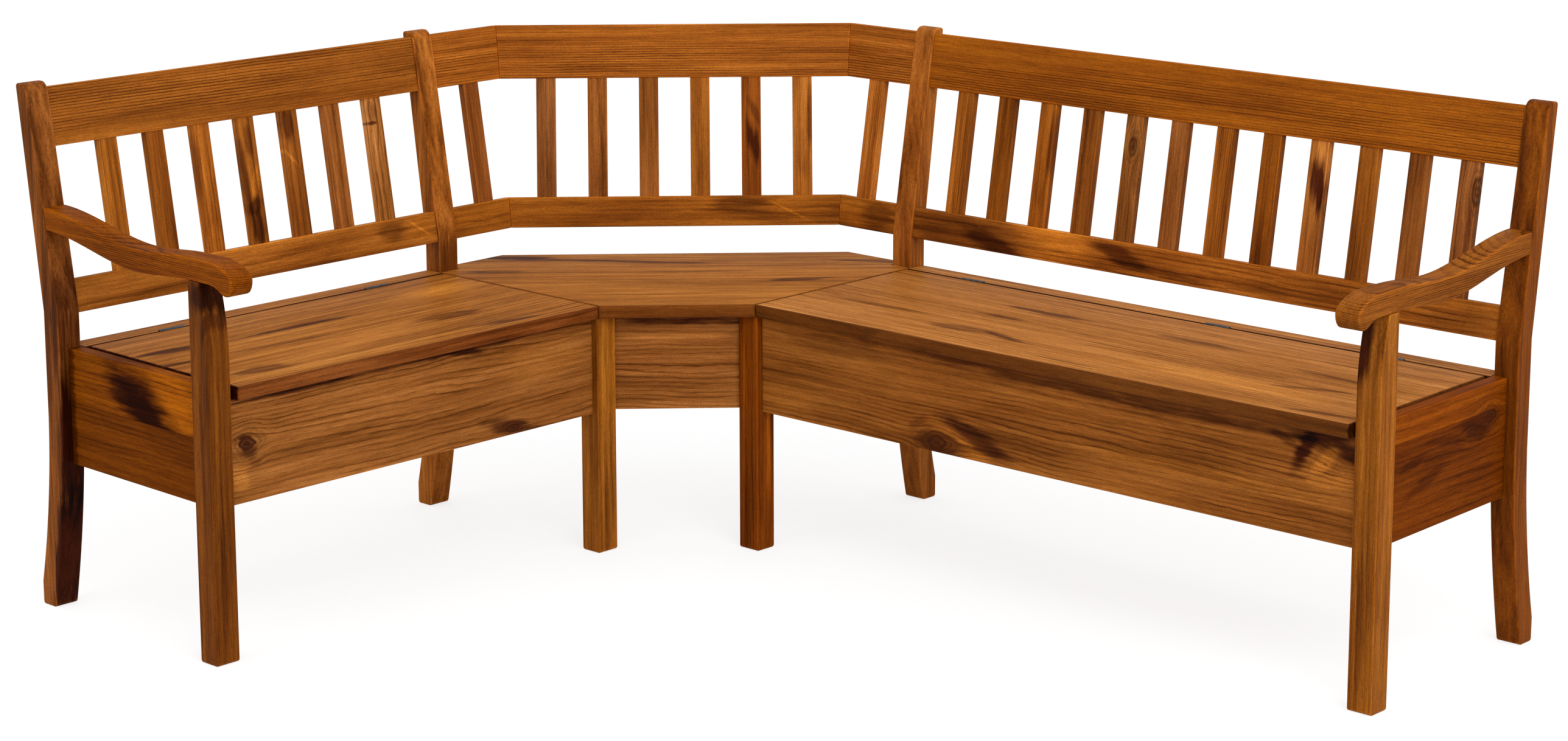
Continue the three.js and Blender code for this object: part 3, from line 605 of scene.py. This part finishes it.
tall_leg_outline += bend((SUPPORT_FRONT, ARM_UNDER - GAP), (0.0015, 0.5638), (0, CURVE_START))
tall_leg_outline += [(0, CHAMFER)]
for side in ("long", "short"):
    legs = (("outer", OUTER[side], tall_leg_outline), ("inner", INNER, short_leg_outline))
    for word, start, outline in legs:
        loops = [[spot(side, along, depth, height) for depth, height in outline]
                 for along in (start, start + LEG)]
        solid(f"{side}_{word}_leg_piece", *loops, UP, BACK[side], leg_woods[f"{side}_{word}"], "frame_wood",
              [f"{side}_{word}_front_leg"])

# Arms.
# Two S-curved arms bandsawn from plank, the grain running lengthwise, glued and dowelled between the
# front of the outer post and the top of the outer leg, with a rounded nose in front.
arm_woods = {}
for side, tone in (("long", (137, 77, 22)), ("short", (131, 66, 7))):
    arm_woods[side] = wood(side + "_arm_wood", tone, shine=0.02, ring=0.0034, pith=(0.3, 0.03), sway=0.004,
                           lines=1.5, streaks=0.6, patches=0.6)
ARM_TOP = 0.66
WAIST = 0.18
WAIST_FACES = (0.615, 0.652)
SUPPORT_BACK = 0.046
NOSE_BACK = -0.006
NOSE_FRONT = -0.068
NOSE_MIDDLE = 0.633
NOSE_LOW = 0.6095
ARM_REAR = (0.648, 0.685)


def swing(points, steps=14):
    """Points of a curve after its start, given its start, two handles and its end."""
    made = []
    for i in range(1, steps + 1):
        t = i / steps
        shares = ((1 - t) ** 3, 3 * t * (1 - t) ** 2, 3 * t * t * (1 - t), t ** 3)
        made.append(tuple(sum(k * c for k, c in zip(shares, line)) for line in zip(*points)))
    return made


def sway_line(start, end):
    """A curve that leaves its start and meets its end level."""
    third = (end[0] - start[0]) / 3
    return swing((start, (start[0] + third, start[1]), (end[0] - third, end[1]), end))


arm_outline = [(rake_front(ARM_REAR[1]) - GAP, ARM_REAR[1])]
arm_outline += sway_line(arm_outline[-1], (WAIST, WAIST_FACES[1]))
arm_outline += sway_line((WAIST, WAIST_FACES[1]), (SUPPORT_BACK, ARM_TOP))
arm_outline += [(NOSE_BACK, ARM_TOP)]
nose_curves = (
    (((NOSE_BACK, ARM_TOP), (-0.033, ARM_TOP), (NOSE_FRONT, 0.6465), (NOSE_FRONT, NOSE_MIDDLE)), 14),
    (((NOSE_FRONT, NOSE_MIDDLE), (NOSE_FRONT, 0.6195), (-0.061, NOSE_LOW), (-0.052, NOSE_LOW)), 8),
    (((-0.052, NOSE_LOW), (-0.0385, NOSE_LOW), (-0.033, ARM_UNDER), (NOSE_BACK, ARM_UNDER)), 10))
for points, steps in nose_curves:
    arm_outline += swing(points, steps)
arm_outline += [(SUPPORT_BACK, ARM_UNDER)]
arm_outline += sway_line((SUPPORT_BACK, ARM_UNDER), (WAIST, WAIST_FACES[0]))
arm_outline += sway_line((WAIST, WAIST_FACES[0]), (rake_front(ARM_REAR[0]) - GAP, ARM_REAR[0]))
for side in ("long", "short"):
    loops = [[spot(side, start - depth * TAPER, depth, height) for depth, height in arm_outline]
             for start in (OUTER[side], OUTER[side] + LEG)]
    solid(side + "_arm_piece", *loops, BACK[side], UP, arm_woods[side], "frame_wood", [side + "_arm"],
          rounding=0.0032, shift=(0.0 if side == "long" else 2.7, 0, 0))

# Front panels.
# Wide boards set 13 mm behind the faces of the legs, of flat-sawn wood with wavy streaks and a few knots;
# the slanted one closes the corner. They are tongued into the legs.
PANEL_LOW = 0.253
PANEL_FACES = (0.013, 0.035)
SLANT_FACES = (-0.1, -0.078)
# The dark band along the top of each front panel, right under the seat's overhanging edge, is painted shade.
panel_woods = {
    "long": wood(
        "long_panel_wood", (138, 79, 27), ring=0.0075, pith=(0.24, -0.05), sway=0.02, wave=0.004,
        lines=1.1, streaks=0.9, patches=0.7, fade=(0.06, 0.01),
        knots=((-0.215, -0.07, 0.015, 1.6, 1.0), (0.6, 0.075, 0.02, 1.6, 0.6)),
        stains=((-0.135, -0.048, 0.09, 0.02, -19, 0.85), (-0.165, -0.062, 0.08, 0.027, -18, -1.1),
                (-0.205, -0.07, 0.062, 0.028, -5, 0.6), (-0.43, 0.06, 0.16, 0.02, 0, 0.4),
                (-0.57, -0.05, 0.09, 0.03, 0, -0.35), (-0.26, -0.045, 0.03, 0.012, 30, 0.35),
                (0.555, 0.036, 0.042, 0.015, 48, -1.0), (0.58, 0.012, 0.06, 0.018, 12, -0.5),
                (0.52, 0.052, 0.055, 0.017, 62, 1.0), (0.55, 0.083, 0.075, 0.022, 0, 0.95),
                (0.61, 0.057, 0.035, 0.015, -10, 0.9), (0.49, 0.06, 0.04, 0.009, -20, 0.6),
                (0.05, 0.1, 0.68, 0.046, -1, 0.75), (0.3, -0.02, 0.3, 0.014, 0, -0.4))),
    "short": wood(
        "short_panel_wood", (147, 88, 37), ring=0.0085, pith=(-0.22, -0.05), sway=0.022, wave=0.004,
        lines=1.0, streaks=0.8, patches=0.5,
        knots=((0.362, 0.01, 0.014, 1.35, 1.1), (-0.21, -0.076, 0.008, 2.2, 1.0)),
        stains=((0.36, 0.004, 0.035, 0.018, 60, 0.75), (0.378, -0.045, 0.03, 0.02, 40, -0.7),
                (-0.2, -0.07, 0.08, 0.016, 12, 0.8), (-0.1, 0.078, 0.05, 0.009, 8, 0.9),
                (0.0, 0.092, 0.5, 0.017, 0, 0.95), (0.25, 0.085, 0.14, 0.014, 0, 0.8),
                (-0.28, 0.03, 0.12, 0.04, 0, -0.4))),
    "corner": wood(
        "corner_panel_wood", (151, 90, 38), ring=0.0075, pith=(0.2, -0.05), sway=0.022, wave=0.005,
        lines=0.8, streaks=0.9, patches=0.5,
        stains=((0.0, 0.09, 0.22, 0.025, 0, 1.0), (0.0, 0.045, 0.12, 0.008, 0, -0.4))),
}


def plank(name, points, low, high, side, grain, across, finish, slot, nodes, body="frame", **settings):
    """A board with its plan outline given along a bench and back from its front."""
    loops = [[spot(side, along, depth, height) for along, depth in points] for height in (low, high)]
    return solid(name, *loops, grain, across, finish, slot, nodes, body, **settings)


def box(a0, a1, d0, d1):
    """The outline of a square board, from its ends along the bench and its faces behind the front."""
    return [(a0, d0), (a1, d0), (a1, d1), (a0, d1)]


for side in ("long", "short"):
    plank(side + "_front_panel_board", box(INNER + LEG + GAP, OUTER[side] - GAP, *PANEL_FACES), PANEL_LOW,
          UNDERSIDE - GAP, side, ALONG[side], UP, panel_woods[side], "panel_wood", [side + "_front_panel"],
          rounding=0.0014)
reach = INNER - GAP
front, rear = (face * math.sqrt(2) for face in SLANT_FACES)
corner_outline = [(reach, reach + front), (reach, reach + rear)]
corner_outline += [(-depth, -along) for along, depth in reversed(corner_outline)]
plank("corner_front_panel_board", corner_outline, PANEL_LOW, UNDERSIDE - GAP, "long", ALONG["slant"], UP,
      panel_woods["corner"], "panel_wood", ["corner_front_panel"], rounding=0.0014)

# End panels.
# The outer ends of the storage boxes, each glued up from two boards of darker wood, tongued into leg and
# post and flush with the seat on top. The inner ends are plain boards, seen only with the lids open.
end_woods = {
    "long": wood(
        "long_end_wood", (106, 48, 4), ring=0.011, pith=(0.2, -0.05), sway=0.02, wave=0.004, lines=0.6,
        patches=0.4, streaks=0.8, boards=(0.14, 0.0845, 5, 0.05), shine=0.012,
        knots=((0.135, 0.046, 0.013, 1.5, 1.0), (0.08, 0.03, 0.008, 1.8, 1.0)),
        stains=((0.0, 0.08, 0.3, 0.1, 0, -0.9, 0.0555), (0.1, 0.046, 0.07, 0.016, 0, 0.6),
                (0.09, 0.03, 0.05, 0.014, -12, 0.7), (0.02, 0.03, 0.1, 0.01, -8, 0.5),
                (-0.06, -0.02, 0.07, 0.012, 14, 0.45), (-0.1, 0.015, 0.05, 0.009, 12, 0.4))),
    "short": wood(
        "short_end_wood", (108, 52, 4), ring=0.0085, pith=(0.2, -0.05), sway=0.014, wave=0.004,
        lines=0.9, patches=0.35, streaks=0.8, boards=(0.2, 0.1915, 2, 0.05), shine=0.012,
        stains=((0.0, 0.05, 0.3, 0.1, 0, -0.6, 0.0085), (-0.125, 0.06, 0.1, 0.05, 32, -1.1, 0.0085),
                (-0.01, 0.04, 0.14, 0.05, 29, 0.85, 0.0085),
                (-0.025, 0.03, 0.11, 0.034, 29, 0.85, 0.0085), (0.18, 0.0, 0.014, 0.4, 0, 0.7))),
}
back_wood = wood(
    "back_wood", (146, 84, 32), ring=0.0085, pith=(0.2, -0.05), sway=0.022, wave=0.004, lines=0.9,
    streaks=0.8, patches=0.6)
BOARD = 0.022
END_THICK = 0.025
for side in ("long", "short"):
    faces = (LEG + GAP, POST_FRONT - GAP)
    corners = ((0, faces[0]), (0, faces[1]), (END_THICK, faces[1]), (END_THICK, faces[0]))
    edges = [(OUTER[side] + out - depth * TAPER, depth) for out, depth in corners]
    plank(side + "_outer_end_boards", edges, PANEL_LOW, SEAT_TOP, side, BACK[side], UP, end_woods[side],
          "panel_wood", [side + "_outer_end_panel"], rounding=0.0016)
    inner_face = INNER + LEG - GAP
    plank(side + "_inner_end_board", box(inner_face - BOARD, inner_face, *faces), PANEL_LOW,
          UNDERSIDE - GAP, side, BACK[side], UP, back_wood, "panel_wood", [side + "_inner_end_panel"],
          rounding=0.0014, shift=(1.3, 0, 0))

# Insides of the boxes.
# The back panel, stained like the front, two plain battens and the bottom sheet on them, and the battens
# under the corner seat, all of softwood fixed to the boards round them. Seen only with the lids open.
inside_wood = wood(
    "inside_wood", (160, 104, 48), ring=0.009, pith=(0.2, -0.06), sway=0.02, lines=0.7, streaks=0.8,
    patches=0.4, rough=0.6)
BACK_PANEL = POST_FRONT + 0.008
BATTEN = 0.018
SHEET = 0.008
bottom_front = PANEL_FACES[1] + GAP
bottom_back = BACK_PANEL - GAP
bottom_low = PANEL_LOW + BATTEN + GAP
batten_end = INNER + LEG - BOARD - 2 * GAP
for n, side in enumerate(("long", "short")):
    inner = INNER + LEG + GAP
    front_end, back_end = (OUTER[side] - depth * TAPER - GAP for depth in (bottom_front, bottom_back))
    plank(side + "_back_board", box(inner, POST_LINE[side] - GAP, BACK_PANEL, BACK_PANEL + BOARD),
          PANEL_LOW, UNDERSIDE - GAP, side, ALONG[side], UP, back_wood, "panel_wood", [side + "_back_panel"],
          rounding=0.0014, shift=(3 + n, 0, 0))
    for word, depth in (("front", bottom_front), ("back", bottom_back - BATTEN)):
        plank(f"{side}_{word}_batten_strip", box(inner, back_end, depth, depth + BATTEN), PANEL_LOW,
              PANEL_LOW + BATTEN, side, ALONG[side], BACK[side], inside_wood, "inside_wood",
              [f"{side}_{word}_batten"], rounding=0.0012, shift=(5 + n + depth, 0, 0))
    outline = [(inner, bottom_front), (front_end, bottom_front)]
    outline += [(back_end, bottom_back), (inner, bottom_back)]
    plank(side + "_bottom_sheet", outline, bottom_low, bottom_low + SHEET, side, ALONG[side], BACK[side],
          inside_wood, "inside_wood", [side + "_box_bottom"], rounding=0.0008, shift=(8 + n, 0.1, 0))
    plank(side + "_corner_batten_strip", box(batten_end - BATTEN, batten_end, LEG + GAP, POST_FRONT - GAP),
          UNDERSIDE - BATTEN - GAP, UNDERSIDE - GAP, side, BACK[side], UP, inside_wood, "inside_wood",
          [f"corner_batten_{side}_side"], rounding=0.0012, shift=(11 + n, 0, 0))

# Hinges.
# Five small steel butt hinges, two on the short lid and three on the long one, let into the seam between
# lid and strip. Each leaf is held by three countersunk screws, seen only with the lid open.
SEAM = 0.4
HINGES = {"long": (0.35651, 0.89394, 1.23749), "short": (0.358745, 0.808475)}
LEAF_FACE = 0.00155
SCREW_PLACES = (-0.017, 0.0, 0.017)
SCREW_DROP = 0.0125
HEAD_AND_SOCKET = ((0.0032, 0.0004, 0.0002), (0.0012, 0.0002, 0.0005))
BRUSHING = (300, 1400, 1400)
DULLING = (160, 160, 160)


def steel(name, colour, rough):
    """Brushed steel with dull patches."""
    material = bpy.data.materials.new(name)
    g = Graph(material)
    place = g.add("ShaderNodeTexCoord").outputs["Object"]
    scratch = g.noise(g.move(place, BRUSHING), 3.0, 0.6)[0]
    dull = g.noise(g.move(place, DULLING), 3.0, 0.6)[0]
    base = g.mix(g.step(dull, 0.35, 0.7), tint(*colour), tint(*colour, 0.72))
    bump = g.add("ShaderNodeBump", {"Height": scratch, "Strength": 0.3, "Distance": 0.0002})
    gloss = g.step(scratch, 0.2, 0.8, rough - 0.08, rough + 0.1)
    shader = g.add("ShaderNodeBsdfPrincipled", {"Base Color": base, "Metallic": 0.85, "Roughness": gloss,
                   "Normal": bump.outputs[0]})
    g.add("ShaderNodeOutputMaterial", {"Surface": shader.outputs[0]})
    return material


def screw_heads(name, side, middle, way):
    """Three screws on the face of a leaf, as one mesh: each a head and the socket in it."""
    work = bmesh.new()
    turn = Matrix.Rotation(math.radians(90), 4, ALONG[side])
    for place in SCREW_PLACES:
        for radius, depth, sink in HEAD_AND_SOCKET:
            at = spot(side, middle + place, SEAM + way * (LEAF_FACE - sink * 0.4), SEAT_TOP - SCREW_DROP)
            bmesh.ops.create_cone(work, cap_ends=True, segments=24, radius1=radius, radius2=radius * 0.9,
                                  depth=depth, matrix=Matrix.Translation(at) @ turn)
    mesh = bpy.data.meshes.new(name)
    work.to_mesh(mesh)
    work.free()
    mesh.materials.append(screw_steel)
    screws = bpy.data.objects.new(name, mesh)
    bpy.context.scene.collection.objects.link(screws)
    return screws


hinge_steel = steel("hinge_steel", (84, 87, 92), 0.4)
screw_steel = steel("screw_steel", (176, 172, 150), 0.34)
for side, middles in HINGES.items():
    for i, middle in enumerate(middles):
        for word, body, way in (("fixed", "frame", 1), ("lid", side + "_lid", -1)):
            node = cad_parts[f"{side}_hinge_{i + 1}_{word}_leaf"]
            node.data.materials.clear()
            node.data.materials.append(hinge_steel)
            rims = node.modifiers.new("edges", "BEVEL")
            rims.width = 0.0002
            rims.segments = 2
            rims.angle_limit = math.radians(40)
            screws = screw_heads(f"{side}_hinge_{i + 1}_{word}_screws", side, middle, way)
            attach(screws, body)

# Seat boards.
# Glued-up boards 23 mm thick in a paler tone, with long streaks and small figures: the two hinged lids,
# the narrow fixed strip behind each, and the corner seat. Their sawn edges took the stain darker, and carry
# painted shade in the gaps and seams.
seat_woods = {
    "long": wood(
        "long_seat_wood", shine=0.02, tone=(181, 115, 51), ring=0.0095, pith=(0.4, -0.08), sway=0.01,
        wave=0.0015, lines=0.8, streaks=0.75, patches=0.35, boards=(0.102, 0.2, 4, 0.05),
        stains=((-0.235, -0.102, 0.08, 0.02, 5, 0.7), (-0.23, -0.101, 0.055, 0.008, 5, -0.8),
                (-0.134, -0.102, 0.06, 0.011, -14, 0.75), (-0.18, 0.087, 0.11, 0.014, -1, 0.8),
                (-0.235, 0.014, 0.06, 0.009, 0, 0.7), (0.13, 0.086, 0.1, 0.01, 0, 0.65),
                (0.45, -0.055, 0.08, 0.008, 18, 0.6), (0.55, -0.172, 0.07, 0.009, 8, 0.7),
                (0.45, 0.03, 0.12, 0.009, -6, 0.55), (0.3, -0.1, 0.25, 0.04, 0, -0.4),
                (-0.45, -0.06, 0.1, 0.009, 4, 0.4), (0.05, -0.17, 0.09, 0.008, 0, 0.45))),
    "short": wood(
        "short_seat_wood", shine=0.02, tone=(176, 109, 42), ring=0.0095, pith=(-0.4, -0.08), sway=0.01,
        wave=0.0015, lines=1.0, streaks=0.9, patches=0.4, boards=(0.102, 0.2, 9, 0.06),
        stains=((0.317, 0.076, 0.07, 0.018, 8, 0.9), (0.36, -0.006, 0.06, 0.011, 9, 0.8),
                (0.29, -0.136, 0.07, 0.022, 9, 0.8), (0.285, -0.137, 0.04, 0.008, 9, -0.8),
                (-0.17, -0.065, 0.08, 0.022, 6, 0.75), (-0.165, -0.064, 0.055, 0.011, 6, -0.9),
                (0.05, 0.062, 0.13, 0.012, 3, 0.85), (-0.21, -0.17, 0.08, 0.011, 6, 0.8),
                (0.14, -0.02, 0.1, 0.008, 5, 0.45), (-0.29, 0.1, 0.1, 0.04, 0, -0.6))),
    "corner": wood(
        "corner_seat_wood", turned=True, shine=0.02, tone=(175, 108, 39), ring=0.0095, pith=(0.4, -0.08),
        sway=0.012, wave=0.0015, lines=1.0, streaks=0.9, patches=0.4, boards=(0.12, 0.25, 6, 0.05),
        stains=((-0.33, 0.07, 0.06, 0.016, 0, 0.7), (-0.325, 0.07, 0.035, 0.007, 0, -0.7),
                (0.22, -0.017, 0.07, 0.015, 10, 0.8), (0.226, -0.016, 0.04, 0.007, 10, -0.8),
                (-0.3, 0.19, 0.1, 0.02, -8, 0.95), (-0.1, 0.155, 0.17, 0.012, -9, 0.8),
                (0.36, 0.135, 0.09, 0.011, -12, 0.75), (0.05, 0.06, 0.14, 0.008, 3, 0.4))),
}
# The dark bands across the ends of each lid, along its back edge and along the front edge of its strip are
# painted shade in the gaps and the seam.
edge_woods = {
    "long": wood(
        "long_lid_edge_wood", (98, 52, 14), ring=0.003, pith=(0.3, 0.05), lines=0.5, patches=0.4,
        streaks=0.7,
        stains=((0.6145, -0.2, 0.004, 0.03, 0, 0.9), (0.0, 0.204, 5.0, 0.006, 0, 1.0),
                (-0.615, 0.0, 0.005, 5.0, 0, 0.9), (0.0, 0.277, 5.0, 0.008, 0, 1.0))),
    "short": wood(
        "short_lid_edge_wood", (113, 58, 20), ring=0.005, pith=(0.3, 0.05), lines=1.1, patches=1.3,
        streaks=1.8,
        stains=((0.3903, 0.0, 0.005, 5.0, 1.4, 1.0), (0.0, 0.204, 5.0, 0.006, 0, 1.0),
                (-0.396, 0.0, 0.005, 5.0, 0, 0.9), (0.0, 0.277, 5.0, 0.008, 0, 1.0))),
    "corner": wood(
        "corner_seat_edge_wood", (121, 65, 19), turned=True, ring=0.003, pith=(0.3, 0.05), lines=0.5,
        patches=0.4, streaks=0.7),
}
SEAT_BACK = 0.4445
HALF_SEAM = 0.0015
OVERHANG = 0.006
LID_START_GAP = 0.0025
LID_END_GAP = 0.008
SLANT_BACK = 0.304
RECESS = (0.0506, 0.006, 0.0303)
RECESS_MIDDLE = SEAT_TOP - 0.00515


def recess_cutters(name, side, owner):
    """Blocks the size of the hinges, cut out of a board where the leaves lie; never shown."""
    work = bmesh.new()
    length, width, height = RECESS
    for middle in HINGES[side]:
        for corner in bmesh.ops.create_cube(work, size=1.0)["verts"]:
            a, d, h = corner.co
            corner.co = spot(side, middle + a * length, SEAM + d * width, RECESS_MIDDLE + h * height)
    mesh = bpy.data.meshes.new(name)
    bmesh.ops.recalc_face_normals(work, faces=work.faces)
    work.to_mesh(mesh)
    work.free()
    obj = bpy.data.objects.new(name, mesh)
    bpy.context.scene.collection.objects.link(obj)
    obj.hide_render = True
    obj.hide_viewport = True
    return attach(obj, owner)


for side in ("long", "short"):
    inner = INNER + LEG
    front, rear = -OVERHANG, SEAM - HALF_SEAM
    front_end, rear_end = (OUTER[side] - depth * TAPER - LID_END_GAP for depth in (front, rear))
    start = inner + LID_START_GAP
    lid_outline = [(start, front), (front_end, front), (rear_end, rear), (start, rear)]
    plank(side + "_lid_boards", lid_outline, UNDERSIDE, SEAT_TOP, side, ALONG[side], BACK[side],
          seat_woods[side], "seat_wood", [side + "_lid"], body=side + "_lid", rounding=0.0022,
          side_finish=edge_woods[side], cutters=recess_cutters(side + "_lid_recess", side, side + "_lid"))
    plank(side + "_seat_strip_board", box(inner + GAP, POST_LINE[side] - GAP, SEAM + HALF_SEAM, SEAT_BACK),
          UNDERSIDE, SEAT_TOP, side, ALONG[side], BACK[side], seat_woods[side], "seat_wood",
          [side + "_seat_strip"], rounding=0.0018, side_finish=edge_woods[side], shift=(2, 0.3, 0),
          cutters=recess_cutters(side + "_strip_recess", side, "frame"))
vertex = SEAT_BACK - SLANT_BACK * math.sqrt(2)
half = [(INNER + LEG, -OVERHANG), (INNER + LEG, POST_FRONT - GAP), (INNER - GAP, POST_FRONT - GAP),
        (INNER - GAP, SEAT_BACK), (vertex, SEAT_BACK)]
seat_outline = half + [(-depth, -along) for along, depth in reversed(half)]
plank("corner_seat_boards", seat_outline, UNDERSIDE, SEAT_TOP, "long", ALONG["long"], BACK["long"],
      seat_woods["corner"], "seat_wood", ["corner_seat"], rounding=0.0022, side_finish=edge_woods["corner"])

# Studio.
# A plain pale floor and backdrop, soft even light from above and in front, and the camera of the
# photograph. The floor that is seen glows by itself, so that it takes only a faint shadow.
WHITE = (1, 1, 1, 1)
PAPER = (0.8, 0.8, 0.8, 1)
DIM = (0.3, 0.3, 0.3, 1)
GLOW = 0.78
SKY = 0.8
FLOOR_REACH = 30
FLOOR_DROP = 0.0005


def shown_rays(g):
    """1 for the rays that show the backdrop itself, and 0 for those by which it lights the bench."""
    rays = g.add("ShaderNodeLightPath").outputs
    bounced = g.math("MAXIMUM", rays["Is Glossy Ray"], rays["Is Transmission Ray"])
    return g.math("MAXIMUM", rays["Is Camera Ray"], bounced)


floor_finish = bpy.data.materials.new("studio_floor")
g = Graph(floor_finish)
paper = g.add("ShaderNodeBsdfDiffuse", {"Color": PAPER})
dim = g.add("ShaderNodeBsdfDiffuse", {"Color": DIM})
bright = g.add("ShaderNodeEmission", {"Color": WHITE, "Strength": GLOW})
shown = g.add("ShaderNodeAddShader", {0: dim.outputs[0], 1: bright.outputs[0]})
both = g.add("ShaderNodeMixShader", {0: shown_rays(g), 1: paper.outputs[0], 2: shown.outputs[0]})
g.add("ShaderNodeOutputMaterial", {"Surface": both.outputs[0]})
floor_mesh = bpy.data.meshes.new("studio_floor")
floor_corners = [(x * FLOOR_REACH, y * FLOOR_REACH, 0) for x, y in ((-1, -1), (1, -1), (1, 1), (-1, 1))]
floor_mesh.from_pydata(floor_corners, [], [(0, 1, 2, 3)])
floor_mesh.materials.append(floor_finish)
floor = bpy.data.objects.new("studio_floor", floor_mesh)
floor.location.z = -FLOOR_DROP
bpy.context.scene.collection.objects.link(floor)

world = bpy.data.worlds.new("studio")
bpy.context.scene.world = world
g = Graph(world)
even = g.add("ShaderNodeBackground", {"Color": WHITE, "Strength": SKY})
white = g.add("ShaderNodeBackground", {"Color": WHITE})
choice = g.add("ShaderNodeMixShader", {0: shown_rays(g), 1: even.outputs[0], 2: white.outputs[0]})
g.add("ShaderNodeOutputWorld", {"Surface": choice.outputs[0]})

LAMPS = (("key", (3.2, -1.7, 3.4), 2.4, 75), ("left", (-1.2, -3.6, 2.4), 2.4, 20),
         ("right", (3.6, 1.0, 2.2), 2.0, 24))
LIT_POINT = Vector((0, 0, 0.4))
for name, place, size, power in LAMPS:
    lamp = bpy.data.lights.new(name, "AREA")
    lamp.size = size
    lamp.energy = power
    holder = bpy.data.objects.new(name, lamp)
    holder.location = place
    holder.rotation_euler = (LIT_POINT - Vector(place)).to_track_quat("-Z", "Y").to_euler()
    bpy.context.scene.collection.objects.link(holder)

# The photograph's frame, its focal length and the point its camera looks straight at, in pixels.
FRAME_WIDTH, FRAME_HEIGHT = 2576, 1218
FOCAL = 5481.006
STRAIGHT_AHEAD = (1317.613, 347)
yaw, pitch, roll = 0.743472, 0.19203, -0.000952
EYE = Vector((4.105705, -4.133720, 1.721050))
forward = Vector((-math.sin(yaw) * math.cos(pitch), math.cos(yaw) * math.cos(pitch), -math.sin(pitch)))
level_right = forward.cross(UP).normalized()
level_up = level_right.cross(forward)
right = level_right * math.cos(roll) + level_up * math.sin(roll)
upward = level_up * math.cos(roll) - level_right * math.sin(roll)
lens = bpy.data.cameras.new("camera")
lens.sensor_width = 36
lens.lens = FOCAL * lens.sensor_width / FRAME_WIDTH
lens.shift_x = (FRAME_WIDTH / 2 - STRAIGHT_AHEAD[0]) / FRAME_WIDTH
lens.shift_y = (STRAIGHT_AHEAD[1] - FRAME_HEIGHT / 2) / FRAME_WIDTH
lens.clip_end = 100
eye = bpy.data.objects.new("camera", lens)
view = Matrix((right, upward, -forward)).transposed().to_4x4()
view.translation = ORIGIN + EYE
eye.matrix_world = view
bpy.context.scene.collection.objects.link(eye)
bpy.context.scene.camera = eye
bpy.context.scene.view_settings.view_transform = "Standard"
